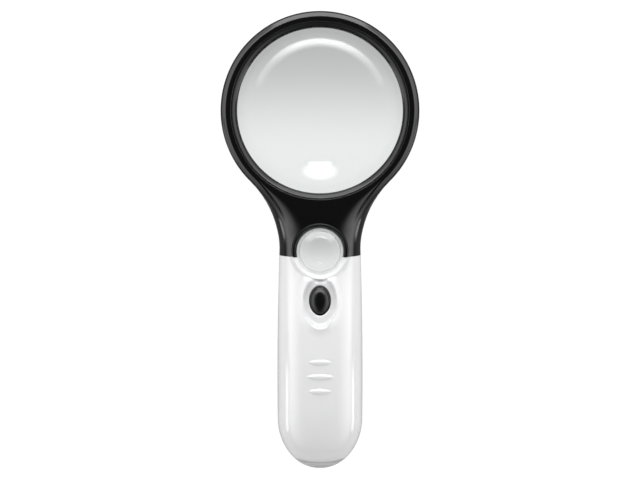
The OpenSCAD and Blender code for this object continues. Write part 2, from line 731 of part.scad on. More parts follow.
module battery_cover() {
    k = len(cover_stations) - 5;
    floor_z = cover_lift + shell_wall;
    color([0.8, 0.8, 0.8])
    difference() {
        union() {
            shell([for (d = cover_stations) rear_ring(d, 0, 17, cover_top(d), back(d))],
                [for (i = [0 : k - 1]) let(d = cover_stations[i]) rear_ring(d, shell_wall, 17, cover_top(d), back(d))]);
            for (s = [0, 1])
                mirror([s, 0, 0]) hook();
            span(-7, 7, cover_start + 0.2, cover_start + 2.6, floor_z - 0.9, floor_z + 1.1);
            span(-7, 7, cover_start - 3, cover_start + 2.6, shell_wall + 0.2, floor_z + 1.1);
        }
        for (i = [0 : 4])
            drop(round_drop - 2 + 2.4 * i, 0, cover_lift + 0.05)
            rotate([0, 90, 0])
            cylinder(h = 14, r = 0.55, center = true, $fn = 24);
    }
}

module power_button() {
    r = button_w / 2;
    k = button_l / button_w;
    color([0.06, 0.06, 0.065])
    drop(button_drop)
    scale([1, k, 1])
    rotate_extrude($fn = 56)
    polygon(concat(
        [[0, plunger_top + rest_gap], [2.4, plunger_top + rest_gap], [2.4, flange_top - flange_t],
            [flange_w / 2, flange_top - flange_t], [flange_w / 2, flange_top], [r, flange_top]],
        [for (i = [0 : 6]) [r * cos(13 * i), cap_top + button_dome * sin(13 * i)]],
        [[0, cap_top + button_dome]]));
}

module switch_board() {
    color([0.1, 0.35, 0.2])
    span(-5.6, 5.6, button_drop - 7.3, button_drop + 4.1, switch_board_z, switch_board_z + board_t);
}

module switch_body() {
    color([0.12, 0.12, 0.13])
    drop(button_drop, 0, switch_z + rest_gap)
    difference() {
        translate([-switch_w / 2, -switch_w / 2, 0]) cube([switch_w, switch_w, switch_h - rest_gap]);
        translate([0, 0, cavity_z - switch_z]) cylinder(h = switch_top - switch_top_t - cavity_z, r = cavity_r, $fn = 48);
        translate([0, 0, 1]) cylinder(h = 20, r = plunger_d / 2 + 0.3, $fn = 48);
    }
}

plunger_collar_z = switch_top - switch_top_t - 0.1;

module switch_plunger() {
    color([0.85, 0.85, 0.83])
    drop(button_drop)
    rotate_extrude($fn = 48)
    polygon([
        [0, plunger_collar_z - 1.2], [cavity_r - 0.3, plunger_collar_z - 1.2], [cavity_r - 0.3, plunger_collar_z],
        [plunger_d / 2, plunger_collar_z], [plunger_d / 2, plunger_top], [0, plunger_top]]);
}

switch_spring_r = cavity_r - 0.3 - switch_spring_wire;
switch_spring_l = plunger_collar_z - 1.2 - cavity_z - 0.1;
switch_coil = coil(switch_spring_r, switch_spring_r, switch_spring_l, 3, switch_spring_wire);
battery_coil = coil(plate_half - 0.5, 2, spring_l, 3, spring_wire);
echo(least_gap = [coil_gap(switch_coil, switch_spring_wire, 7), coil_gap(battery_coil, spring_wire, 7)]);

module switch_spring() {
    color([0.75, 0.75, 0.77])
    drop(button_drop, 0, cavity_z + 0.05)
    tube(switch_coil, switch_spring_wire / 2, [0.05, 0.03, 1], 6);
}

// Cell with its nub towards +Y when turned up
module cell(x, up) {
    nub = 1;
    drop(up ? upper_contact + rest_gap : lower_contact - rest_gap, x, cell_z)
    rotate([up ? 90 : -90, 0, 0])
    rotate_extrude($fn = 64)
    polygon([
        [0, 0], [1.9, 0], [1.9, nub], [cell_r - 0.5, nub], [cell_r, nub + 0.5],
        [cell_r, cell_l - 0.5], [cell_r - 0.5, cell_l], [0, cell_l]]);
}

module cell_left() {
    color([0.2, 0.22, 0.25]) cell(-cell_pitch, true);
}

module cell_middle() {
    color([0.2, 0.22, 0.25]) cell(0, false);
}

module cell_right() {
    color([0.2, 0.22, 0.25]) cell(cell_pitch, true);
}

module contact_positive() {
    color([0.8, 0.8, 0.78]) {
        span(-cell_pitch - plate_half, -cell_pitch + plate_half, bay_start, upper_contact, plate_bottom, plate_top);
        span(-cell_pitch - 1.5, -cell_pitch + 1.5, bay_start, upper_contact, plate_top - 0.5, tab_z);
    }
}

module contact_negative() {
    color([0.8, 0.8, 0.78]) {
        span(cell_pitch - plate_half, cell_pitch + plate_half, lower_contact, bay_end, plate_bottom, plate_top);
        span(cell_pitch - 1.5, cell_pitch + 1.5, lower_contact, bay_end, plate_top - 0.5, tab_z);
    }
}

module contact_bridge_upper() {
    color([0.8, 0.8, 0.78])
    span(-plate_half, cell_pitch + plate_half, bay_start, upper_contact, plate_bottom, plate_top);
}

module contact_bridge_lower() {
    color([0.8, 0.8, 0.78])
    span(-cell_pitch - plate_half, plate_half, lower_contact, bay_end, plate_bottom, plate_top);
}

module battery_spring(x, at_top) {
    color([0.75, 0.75, 0.77])
    drop(at_top ? upper_contact : lower_contact, x, cell_z)
    rotate([at_top ? 90 : -90, 0, 0])
    tube(battery_coil, spring_wire / 2, [0.05, 0.03, 1], 6);
}

module battery_spring_left() {
    battery_spring(-cell_pitch, false);
}

module battery_spring_middle() {
    battery_spring(0, true);
}

module battery_spring_right() {
    battery_spring(cell_pitch, false);
}

// Routes of the wires as places across, along the drop and in height
b = button_drop;
t = loupe_drop;
battery_route = [[-cell_pitch, bay_start, wire_z], [-cell_pitch, bay_start - 1, wire_z], [-9.4, b + 1.9, wire_z - 0.4],
    [-7.2, b - 1.1, 12.8], [-6.6, b - 3.7, 9.4], [-4.6, b - 5.7, 7], [-3.6, b - 5.9, 5.8],
    [-3.6, b - 5.9, switch_z + rest_gap]];
light_route = [[-5.6, b - 6.1, switch_board_z + board_t / 2], [-6.3, b - 6.1, switch_board_z + board_t / 2],
    [-7.2, b - 7.7, 4.3], [-8.3, b - 10.1, 4.6], [-10.4, t + 7.4, 5], [-12.4, t + 2.9, 5.2], [-12.6, t - 1.6, 5.4],
    [-12.2, t - 5.6, 5.8], [-10.6, t - 8.8, 6.4], [-9, led_board_end + 1.2, led_board_z + board_t / 2],
    [-9, led_board_end, led_board_z + board_t / 2]];
return_run = [for (i = [0 : 5]) [cell_pitch, lower_contact - (lower_contact - bay_start - 3) * i / 5, wire_z]];
return_route = concat(return_run, [[9.6, b + 3.7, wire_z - 0.3],
    [7.6, b - 0.3, 12.8], [6.9, b - 3.3, 9.4], [6.7, b - 5.7, 6.4], [7.3, b - 7.9, 4.9], [8.4, b - 10.2, 4.8],
    [10.4, t + 7.4, 5], [12.4, t + 2.9, 5.2], [12.6, t - 1.6, 5.4], [12.2, t - 5.6, 5.8], [10.6, t - 8.8, 6.4],
    [9, led_board_end + 1.2, led_board_z + board_t / 2], [9, led_board_end, led_board_z + board_t / 2]]);

module battery_wire() {
    color([0.7, 0.08, 0.06]) tube(laid(battery_route), wire_d / 2, [1, 0.35, 0.2]);
}

module light_wire() {
    color([0.85, 0.45, 0.05]) tube(laid(light_route), wire_d / 2, [0.2, 0.1, 1]);
}

module return_wire() {
    color([0.05, 0.05, 0.05]) tube(laid(return_route), wire_d / 2, [1, 0.25, 0.3]);
}

// Screw with its head towards the back
module screw(x, d, length) {
    color([0.7, 0.7, 0.72])
    drop(d, x, screw_seat_z - screw_head_h - rest_gap)
    difference() {
        rotate_extrude($fn = 48)
        polygon([[0, 0], [screw_head_d / 2 - 0.3, 0], [screw_head_d / 2, 0.4], [screw_head_d / 2, screw_head_h],
            [screw_d / 2, screw_head_h], [screw_d / 2, screw_head_h + length - 0.6], [0.4, screw_head_h + length],
            [0, screw_head_h + length]]);
        for (a = [0, 90])
            rotate([0, 0, a]) translate([-1.1, -0.25, -0.1]) cube([2.2, 0.5, 0.8]);
    }
}

module head_screw_left() {
    screw(-head_screw_x, head_screw_drop, 9);
}

module head_screw_right() {
    screw(head_screw_x, head_screw_drop, 9);
}

module handle_screw_left() {
    screw(-handle_screw_x, handle_screw_drop, 11);
}

module handle_screw_right() {
    screw(handle_screw_x, handle_screw_drop, 11);
}

main_lens();
lens_bezel();
head_front();
head_rear();
small_lens();
loupe_sleeve();
light_board();
light_left();
light_middle();
light_right();
light_resistor();
handle_front();
handle_rear();
battery_cover();
power_button();
switch_board();
switch_body();
switch_plunger();
switch_spring();
cell_left();
cell_middle();
cell_right();
contact_positive();
contact_negative();
contact_bridge_upper();
contact_bridge_lower();
battery_spring_left();
battery_spring_middle();
battery_spring_right();
battery_wire();
light_wire();
return_wire();
head_screw_left();
head_screw_right();
handle_screw_left();
handle_screw_right();
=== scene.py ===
import json
import math

import bmesh
import bpy
import numpy as np
from bpy.props import FloatProperty, FloatVectorProperty, PointerProperty
from bpy.types import Operator, Panel, PropertyGroup
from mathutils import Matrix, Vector


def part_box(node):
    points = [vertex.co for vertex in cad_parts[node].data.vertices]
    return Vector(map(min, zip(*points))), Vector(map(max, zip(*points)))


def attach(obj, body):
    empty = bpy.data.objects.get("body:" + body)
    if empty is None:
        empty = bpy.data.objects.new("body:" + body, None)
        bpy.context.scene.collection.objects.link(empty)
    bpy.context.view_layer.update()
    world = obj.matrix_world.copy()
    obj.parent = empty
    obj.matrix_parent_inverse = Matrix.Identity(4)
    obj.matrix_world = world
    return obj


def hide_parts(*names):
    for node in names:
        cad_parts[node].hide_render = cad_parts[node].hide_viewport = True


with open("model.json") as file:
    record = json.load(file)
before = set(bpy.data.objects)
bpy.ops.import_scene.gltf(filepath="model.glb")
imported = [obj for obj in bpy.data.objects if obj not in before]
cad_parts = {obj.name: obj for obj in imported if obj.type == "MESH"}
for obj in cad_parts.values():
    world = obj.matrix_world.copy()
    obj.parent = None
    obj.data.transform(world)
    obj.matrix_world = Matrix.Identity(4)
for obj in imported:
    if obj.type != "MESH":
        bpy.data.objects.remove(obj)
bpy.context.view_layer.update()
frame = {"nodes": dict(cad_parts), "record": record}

bl_info = {
    "name": "Hand magnifier",
    "version": (1, 0, 0),
    "blender": (4, 5, 0),
    "location": "View3D > Sidebar > Magnifier",
    "description": "Builds the finished look of a hand magnifier round its packed solids",
    "category": "Object",
}

SLOT_OF = {row["node"]: row["material_slot"] for row in frame["record"]["subparts"]}
MM = 0.001
SIDES = ("left", "middle", "right")

# Sizes in millimetres, most of them shared with the solids. A drop is a distance below the main lens axis.
LENS_Y = 54.725
MAIN_R, MAIN_EDGE, MAIN_FACE_R, MAIN_MID, MAIN_POLE = 37.5, 2.4, 140.0, 8.0, 14.31
RING_R, RING_T, BORE_R, LAND_R = 42.0, 16.0, 37.65, 39.2
BEVEL_W, BEVEL_H, FLANK_W = 2.4, 2.0, 2.8
PARTING, HALF_SEAM, SEAM_LEAN = 7.0, 0.075, 0.11
FRONT_Z = PARTING + HALF_SEAM
NECK_W, NECK_T, SWEEP_R = 34.3, 15.9, 41.5
SWEEP_X = NECK_W / 2 + SWEEP_R
SWEEP_DROP = math.sqrt((RING_R + SWEEP_R) ** 2 - SWEEP_X**2)
NECK_START = RING_R * SWEEP_DROP / (RING_R + SWEEP_R)
LOUPE_DROP, SEAM_DROP, BUTTON_DROP = 59.6, 62.0, 80.3
LOUPE_R, COLLAR_R, COLLAR_TOP = 10.2, 11.75, 17.86
BAY_START, BAY_END = 86.3, 135.75
BAY_MID = (BAY_START + BAY_END) / 2
HANDLE_W, HANDLE_T = 36.0, 23.3
FRONT_END, END_DROP, ROUND_DROP, END_ARC = 148.85, 151.45, 130.35, 70.0
END_LEN = (END_DROP - ROUND_DROP) / math.sin(math.radians(86))
THIN_EDGE, HEAD_WALL, BULKHEAD_T = 0.8, 0.9, 1.5
COVER_START, COVER_WALL = 85.15, 1.9
HOLE_W, HOLE_L = 9.0, 12.5
DISH_DROP, DISH_W, DISH_L = 81.0, 15.2, 22.8
RIDGES = ((106.245, 9.1), (112.375, 11.6), (118.505, 9.1))
RIDGE_HALF, RIDGES_START, RIDGES_END = 1.2, 104.6, 120.2
HEAD_SCREW, HANDLE_SCREW = (13.0, 46.0), (11.0, 73.0)


def smooth(t):
    u = np.clip(t, 0, 1)
    return u * u * (3 - 2 * u)


def eased(count):
    """Shares from 0 to 1 that lie closer together towards 1."""
    return np.sin(np.linspace(0, math.pi / 2, count))


def sag(r, face_r):
    return face_r - np.sqrt(face_r**2 - np.square(r))


def half_width(d):
    """Half the width of the neck and handle at a drop."""
    d = np.asarray(d, float)
    neck = SWEEP_X - np.sqrt(np.maximum(0, SWEEP_R**2 - (SWEEP_DROP - d) ** 2))
    side = (HANDLE_W - (HANDLE_W - NECK_W) * ((d - BAY_MID) / (BAY_MID - SWEEP_DROP)) ** 2) / 2
    share = np.sqrt(np.maximum(0, 1 - (np.maximum(0, d - ROUND_DROP) / END_LEN) ** 2))
    return np.where(d < SWEEP_DROP, neck, side * share)


def front_half(d):
    """Half the width of the front shell, whose end is cut by a wide arc."""
    e = np.maximum(0, FRONT_END - np.asarray(d, float))
    edge = np.where(e > END_ARC / 2, 100, np.sqrt(np.maximum(0, END_ARC * e - e * e)))
    return np.maximum(THIN_EDGE, np.minimum(half_width(d), edge))


def crest(d):
    """Height of the front's middle line at a drop."""
    d = np.asarray(d, float)
    rise = NECK_T + (HANDLE_T - NECK_T) * smooth((d - RING_R) / (BAY_MID - RING_R))
    past = np.power(np.maximum(0, (d - BAY_MID) / (FRONT_END - BAY_MID)), 3.2)
    fall = np.power(np.maximum(0, 1 - past), 1 / 2.2)
    return np.where(d < BAY_MID, rise, PARTING + np.maximum(THIN_EDGE, (HANDLE_T - PARTING) * fall))


def section_n(d):
    """Exponent of the front section: softer shoulders at the neck than along the handle."""
    return 2.25 + 0.45 * smooth((np.asarray(d, float) - SEAM_DROP) / 35)


def front_z(x, d):
    """Height of the plain front surface."""
    n, w, h = section_n(d), front_half(d), crest(d) - FRONT_Z
    return FRONT_Z + h * np.power(np.maximum(0, 1 - np.power(np.minimum(1, np.abs(x) / w), n)), 1 / n)


SEAM_Z = float(crest(SEAM_DROP))


def lean_at(d):
    """How far the rows lean with the seam at a drop, for each millimetre below its top."""
    return SEAM_LEAN * (1 - smooth((np.abs(np.asarray(d, float) - SEAM_DROP) - 1) / 12))


def straight_points(x, d, z):
    """Points in the part's frame from places across, along the drop and in height."""
    x, d, z = np.broadcast_arrays(np.asarray(x, float), np.asarray(d, float), np.asarray(z, float))
    return np.stack([x, LENS_Y - d, z], -1).reshape(-1, 3)


def points(x, d, z):
    """The same, leaning with the seam."""
    return straight_points(x, d - lean_at(d) * (SEAM_Z - z), z)


def both_sides(x, d, z):
    """Row of points from the left edge to the right one, given by the places of its right half."""
    d = d + 0 * x
    return np.concatenate([points(-x[::-1], d[::-1], z[::-1]), points(x, d, z)])


def edge_drop(distance, radius):
    """How far a rounded edge falls at a distance from it."""
    t = np.clip(distance / radius, 0, 1)
    return radius * (1 - np.sqrt(1 - (1 - t) ** 2))


def rounded(outline, radii, steps=6, closed=False):
    """Outline with its corners rounded by the given radii."""
    pts = [np.array(p, float) for p in outline]
    count = len(pts)
    out = []
    for i, b in enumerate(pts):
        r = radii[i]
        if r <= 0 or (not closed and i in (0, count - 1)):
            out.append(b)
            continue
        u, v = pts[i - 1] - b, pts[(i + 1) % count] - b
        lu, lv = np.linalg.norm(u), np.linalg.norm(v)
        u, v = u / lu, v / lv
        turn = math.acos(max(-1.0, min(1.0, float(u @ v))))
        reach = min(r / math.tan(turn / 2), 0.48 * lu, 0.48 * lv)
        for t in np.arange(steps + 1) / steps:
            out.append((1 - t) ** 2 * (b + u * reach) + 2 * t * (1 - t) * b + t**2 * (b + v * reach))
    return np.array(out)


def resample(path, count):
    path = np.asarray(path, float)
    run = np.concatenate([[0], np.cumsum(np.linalg.norm(np.diff(path, axis=0), axis=1))])
    at = np.linspace(0, run[-1], count)
    return np.stack([np.interp(at, run, path[:, k]) for k in range(path.shape[1])], -1)


def grid_faces(rows, cols, skip=(), first=0):
    """Faces of a grid of points, without the columns to skip."""
    corners = [first + i * cols + j for i in range(rows - 1) for j in range(cols - 1) if j not in skip]
    return [(k, k + 1, k + cols + 1, k + cols) for k in corners]


def new_mesh(name, verts, faces=()):
    mesh = bpy.data.meshes.new(name)
    mesh.from_pydata([tuple(v) for v in verts], [], list(faces))
    return mesh


def as_lists(bm):
    bm.verts.index_update()
    verts = np.array([v.co[:] for v in bm.verts])
    faces = [tuple(v.index for v in f.verts) for f in bm.faces]
    bm.free()
    return verts, faces


def as_bmesh(verts, faces):
    mesh = new_mesh("rough", verts, faces)
    bm = bmesh.new()
    bm.from_mesh(mesh)
    bpy.data.meshes.remove(mesh)
    bmesh.ops.remove_doubles(bm, verts=bm.verts[:], dist=0.0005)
    bmesh.ops.dissolve_degenerate(bm, dist=0.0002, edges=bm.edges[:])
    loose = [v for v in bm.verts if not v.link_faces]
    bmesh.ops.delete(bm, geom=loose, context="VERTS")
    bmesh.ops.recalc_face_normals(bm, faces=bm.faces[:])
    return bm


def closed(verts, faces):
    """Closed form from loose faces: doubles merged and faces turned outwards."""
    return as_lists(as_bmesh(verts, faces))


def thickened(verts, faces, wall):
    """Closed wall below a sheet whose outer side faces up."""
    bm = as_bmesh(verts, faces)
    top = max(bm.faces, key=lambda f: f.calc_center_median().z)
    if top.normal.z < 0:
        bmesh.ops.reverse_faces(bm, faces=bm.faces[:])
    bm.normal_update()
    outer = bm.faces[:]
    edges = [e for e in bm.edges if len(e.link_faces) == 1]
    inner = {v: bm.verts.new(v.co - v.normal * wall) for v in bm.verts[:]}
    for e in edges:
        a = e.link_loops[0].vert
        b = e.other_vert(a)
        bm.faces.new((b, a, inner[a], inner[b]))
    for f in outer:
        bm.faces.new([inner[v] for v in reversed(f.verts)])
    return as_lists(bm)


def block(x0, x1, d0, d1, z0, z1, edge=0.15):
    """Bar with its edges broken, given by its limits across, along the drop and in height."""
    bm = bmesh.new()
    bmesh.ops.create_cube(bm, size=1)
    for v in bm.verts:
        v.co = (
            (x0 + x1) / 2 + v.co.x * (x1 - x0),
            LENS_Y - (d0 + d1) / 2 + v.co.y * (d1 - d0),
            (z0 + z1) / 2 + v.co.z * (z1 - z0),
        )
    bmesh.ops.bevel(bm, geom=bm.edges[:], offset=edge, segments=2, affect="EDGES", profile=0.5)
    return as_lists(bm)


def turned(profile, x, d, segments=96, stretch=1.0, solid=False, until=None):
    """Ring turned about an upright axis from a closed outline of (radius, height), or a solid from one that
    starts and ends on the axis. until gives each point's share of the half turn, for a part ring."""
    profile = np.asarray(profile, float)
    n = len(profile)
    r, z = profile[:, 0], profile[:, 1]
    if until is None:
        a = np.linspace(0, 2 * math.pi, segments + 1)[:-1, None]
    else:
        a = np.linspace(-1, 1, segments + 1)[:, None] * until(r, z)[None, :]
    verts = straight_points(x + r * np.sin(a), d + r * np.cos(a) * stretch, z + 0 * a)
    rows = len(a)
    faces = []
    for i in range(rows if until is None else rows - 1):
        k = (i + 1) % rows
        for j in range(n - 1 if solid else n):
            m = (j + 1) % n
            faces.append((i * n + j, i * n + m, k * n + m, k * n + j))
    if until is not None:
        faces += [tuple(range(n)), tuple((rows - 1) * n + j for j in range(n))]
    return closed(verts, faces)


def joined(*forms):
    verts, faces, count = [], [], 0
    for v, f in forms:
        verts.append(np.asarray(v))
        faces += [tuple(i + count for i in face) for face in f]
        count += len(v)
    return np.concatenate(verts), faces


def mirrored(form):
    verts, faces = form
    return np.asarray(verts) * (-1, 1, 1), [tuple(reversed(f)) for f in faces]


def paired(*forms):
    """Each form and its mirror image on the other side."""
    return [side for form in forms for side in (form, mirrored(form))]


def posts(bore_r, r, low, top, screw):
    """Pair of hollow posts for the screws at a place."""
    outline = [(bore_r, low), (r, low), (r, top), (bore_r, top)]
    return [turned(outline, s * screw[0], screw[1], 40) for s in (-1, 1)]


def placed(name, data):
    """New object in the scene."""
    obj = bpy.data.objects.new(name, data)
    bpy.context.scene.collection.objects.link(obj)
    return obj


def marked(mesh, name, values):
    """Gives every point of a mesh a value."""
    mesh.attributes.new(name, "FLOAT", "POINT").data.foreach_set("value", np.asarray(values, np.float32))


def dressed(obj, nodes, angle=35, body="housing"):
    """Gives a piece its smooth shading, its body and its solids' finish, and lets it stand for them."""
    material_slot = SLOT_OF[nodes[0]]
    mesh = obj.data
    mesh.shade_smooth()
    mesh.set_sharp_from_angle(angle=math.radians(angle))
    mesh.materials.clear()
    mesh.materials.append(finish(material_slot))
    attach(obj, body)
    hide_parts(*nodes)
    return obj


def piece(name, form, nodes, angle=35, body="housing"):
    verts, faces = form
    mesh = new_mesh(name, np.asarray(verts) * MM, faces)
    mesh.validate()
    return dressed(placed(name, mesh), nodes, angle, body)


def merged_copy(node, name):
    """Smooth copy of a solid that keeps its shape."""
    mesh = frame["nodes"][node].data.copy()
    bm = bmesh.new()
    bm.from_mesh(mesh)
    bmesh.ops.remove_doubles(bm, verts=bm.verts[:], dist=2e-6)
    bm.to_mesh(mesh)
    bm.free()
    mesh.name = name
    return dressed(placed(name, mesh), [node], 32)


def maths(operation, swapped=False):
    """Method that adds a Math node for a socket and another value."""

    def method(self, other):
        values = (other, self) if swapped else (self, other)
        return add(self.tree, "ShaderNodeMath", dict(enumerate(values)), operation=operation)

    return method


class Shade:
    """Output socket of a node tree; Python expressions on it add Math nodes."""

    def __init__(self, tree, socket):
        self.tree = tree
        self.socket = socket

    __add__ = __radd__ = maths("ADD")
    __sub__, __rsub__ = maths("SUBTRACT"), maths("SUBTRACT", True)
    __mul__ = __rmul__ = maths("MULTIPLY")
    __truediv__, __rtruediv__ = maths("DIVIDE"), maths("DIVIDE", True)
    most = maths("MAXIMUM")

    def step(self, low, high):
        limits = {"Value": self, "From Min": low, "From Max": high}
        return add(self.tree, "ShaderNodeMapRange", limits, interpolation_type="SMOOTHSTEP")


def add(tree, kind, inputs=None, output=0, **settings):
    """Adds a node, sets its settings, then its sockets, and returns one of its outputs."""
    node = tree.nodes.new(kind)
    for key, value in settings.items():
        setattr(node, key, value)
    for key, value in (inputs or {}).items():
        if isinstance(value, (Shade, list)):
            for link in value if isinstance(value, list) else [value]:
                tree.links.new(link.socket, node.inputs[key])
        else:
            node.inputs[key].default_value = value
    return Shade(tree, node.outputs[output]) if len(node.outputs) else node


def new_tree(name):
    material = bpy.data.materials.new(name)
    material.use_nodes = True
    material.node_tree.nodes.clear()
    return material, material.node_tree


def rgba(colour, scale=1.0):
    return tuple(c * scale for c in colour[:3]) + (1.0,)


def grey(level):
    return (level, level, level, 1.0)


def blend_colour(tree, share, low, high):
    return add(tree, "ShaderNodeMix", {0: share, 6: low, 7: high}, 2, data_type="RGBA")


def blend_shader(tree, share, low, high):
    return add(tree, "ShaderNodeMixShader", {0: share, 1: low, 2: high})


def position(tree, kind="Object"):
    return add(tree, "ShaderNodeTexCoord", output=kind)


def along(tree, where, axis):
    """One coordinate of a position or direction."""
    return add(tree, "ShaderNodeSeparateXYZ", {0: where}, axis)


def mark(tree, name):
    """The value that the points carry under a name."""
    return add(tree, "ShaderNodeAttribute", output="Fac", attribute_name=name)


def rays(tree, *kinds):
    """Whether the ray is of each kind."""
    return [add(tree, "ShaderNodeLightPath", output=f"Is {kind} Ray") for kind in kinds]


def noise(tree, where, scale, detail=2.0, rough=0.5):
    inputs = {"Vector": where, "Scale": scale, "Detail": detail, "Roughness": rough}
    return add(tree, "ShaderNodeTexNoise", inputs)


def skin_bump(tree, where, grain, depth):
    skin = noise(tree, where, grain, 2.0)
    return add(tree, "ShaderNodeBump", {"Strength": depth, "Distance": 0.0003, "Height": skin})


def output(tree, shader):
    add(tree, "ShaderNodeOutputMaterial", {"Surface": shader})


def surface(material, tree, sockets):
    """Principled surface joined to the output."""
    output(tree, add(tree, "ShaderNodeBsdfPrincipled", sockets))
    return material


def moulded(name, colour, roughness, spread, grain, depth, tone=0.06, metallic=0.0, ior=1.5):
    """Moulded plastic, lacquer or plated metal: faint shade, gloss smears and a fine skin."""
    material, tree = new_tree(name)
    where = position(tree)
    cloud = noise(tree, where, 45.0, 3.0)
    smear = noise(tree, where, 130.0, 4.0, 0.6)
    base = blend_colour(tree, cloud.step(0.3, 0.7), rgba(colour, 1 - tone), rgba(colour, 1 + tone))
    rough = roughness + (smear - 0.5) * (2 * spread)
    bump = skin_bump(tree, where, grain, depth)
    sockets = {"Metallic": metallic, "IOR": ior, "Base Color": base, "Roughness": rough, "Normal": bump}
    return surface(material, tree, sockets)


def jacketed(name, band, sleeve, steel):
    """Printed cell jacket with a plain band, and bare steel where the piece is marked as metal."""
    material, tree = new_tree(name)
    where = position(tree)
    smear = noise(tree, where, 160.0, 4.0, 0.6)
    metal = mark(tree, "metal")
    banded = along(tree, where, "Y").step(-0.0458, -0.0455)
    base = blend_colour(tree, banded, rgba(sleeve), rgba(band))
    base = blend_colour(tree, metal, base, rgba(steel))
    bump = skin_bump(tree, where, 1500.0, 0.02)
    rough = 0.24 + smear * 0.14
    sockets = {"IOR": 1.5, "Base Color": base, "Metallic": metal, "Roughness": rough, "Normal": bump}
    return surface(material, tree, sockets)


def clear(name, tint, ior, rough=0.0):
    """Clear polished plastic that lets light through to what it covers, matt white where it is frosted."""
    material, tree = new_tree(name)
    smear = noise(tree, position(tree), 60.0, 3.0)
    sockets = {"IOR": ior, "Transmission Weight": 1.0, "Base Color": rgba(tint)}
    sockets["Roughness"] = rough + smear.step(0.55, 0.8) * 0.012
    glass = add(tree, "ShaderNodeBsdfPrincipled", sockets)
    thin = add(tree, "ShaderNodeBsdfTransparent", {"Color": rgba(tint, 0.96)})
    mixed = blend_shader(tree, *rays(tree, "Shadow"), glass, thin)
    matt = add(tree, "ShaderNodeBsdfDiffuse", {"Color": (0.96, 0.98, 0.97, 1)})
    output(tree, blend_shader(tree, mark(tree, "frost"), mixed, matt))
    return material


# Moulded and plated finishes. A row starts with a colour and a roughness, or with the name that this pair
# has among the settings. The spread of the roughness and the grain and depth of the skin follow, and then the
# tone, metallic and IOR where they aren't the usual ones.
MOULDED = {
    "head_black": ("head", 0.02, 1400.0, 0.008, 0.06, 0.0, 1.6),
    "bezel_black": ("bezel", 0.03, 1600.0, 0.02),
    "handle_white": ("handle", 0.02, 1200.0, 0.012, 0.008, 0.0, 1.68),
    # The battery cover is a darker grey than the handle as painted shade: it stands in for the shade on the
    # cover's nose, which faces away from the light.
    "cover_grey": ("cover", 0.03, 1600.0, 0.03, 0.012),
    "button_black": ("button", 0.03, 2600.0, 0.04),
    "sleeve_white": ((0.88, 0.88, 0.87), 0.42, 0.04, 1800.0, 0.05, 0.01),
    "board_green": ((0.03, 0.2, 0.08), 0.38, 0.05, 2400.0, 0.1, 0.2),
    "resistor_beige": ((0.58, 0.46, 0.3), 0.35, 0.04, 1500.0, 0.03),
    "switch_black": ((0.025, 0.025, 0.027), 0.5, 0.04, 2600.0, 0.08),
    "plunger_ivory": ((0.72, 0.7, 0.62), 0.45, 0.03, 2000.0, 0.04, 0.02),
    "spring_steel": ((0.62, 0.62, 0.64), 0.28, 0.06, 3000.0, 0.06, 0.05, 1.0),
    "contact_nickel": ((0.7, 0.68, 0.64), 0.24, 0.08, 3000.0, 0.05, 0.05, 1.0),
    "wire_red": ((0.45, 0.025, 0.02), 0.42, 0.04, 2200.0, 0.05),
    "wire_orange": ((0.6, 0.22, 0.02), 0.42, 0.04, 2200.0, 0.05),
    "wire_black": ((0.02, 0.02, 0.021), 0.42, 0.04, 2200.0, 0.05),
    "screw_steel": ((0.5, 0.5, 0.52), 0.34, 0.08, 2600.0, 0.08, 0.08, 1.0),
}


def finish(slot_name):
    """The material of a slot, made when it is first asked for."""
    name = f"{slot_name}_finish"
    made = bpy.data.materials.get(name)
    if made:
        return made
    look = bpy.context.scene.magnifier_finishes
    if slot_name == "lens_clear":
        return clear(name, look.lens_tint, 1.49)
    if slot_name == "light_clear":
        return clear(name, (0.93, 0.95, 0.9), 1.53, 0.04)
    if slot_name == "cell_jacket":
        return jacketed(name, (0.42, 0.44, 0.46), (0.035, 0.06, 0.11), (0.62, 0.61, 0.58))
    first, *rest = MOULDED[slot_name]
    if isinstance(first, str):
        first, rest = getattr(look, f"{first}_colour"), [getattr(look, f"{first}_roughness"), *rest]
    return moulded(name, first, *rest)


def setting(kind, **fixed):
    """Maker of settings of one kind, each given by its name, description and default."""

    def made(name, description, default):
        return kind(name=name, description=description, default=default, **fixed)

    return made


length_setting = setting(FloatProperty, unit="LENGTH")
level_setting = setting(FloatProperty, min=0.0)
share_setting = setting(FloatProperty, min=0.0, max=1.0, subtype="FACTOR")
colour_setting = setting(FloatVectorProperty, size=3, subtype="COLOR")


class MagnifierSizes(PropertyGroup):
    """Small forms of the finished part."""

    edge_round: length_setting("Edge rounding", "Rounding of the hole and collar edges", 0.00035)
    bevel_round: length_setting("Bevel rounding", "Rounding of the ring's bevel", 0.0006)
    dish_depth: length_setting("Dish depth", "Depth of the dish round the button", 0.0015)
    dish_lip: length_setting("Dish lip", "Height of the soft lip round the dish", 0.0009)
    ridge_height: length_setting("Ridge height", "Height of the grip ridges", 0.0007)
    shell_wall: length_setting("Shell wall", "Wall of the handle's front shell", 0.0012)
    spring_turns: level_setting("Spring turns", "Turns of each battery spring", 3.0)
    spring_wire: length_setting("Spring wire", "Thickness of the battery springs' wire", 0.0006)


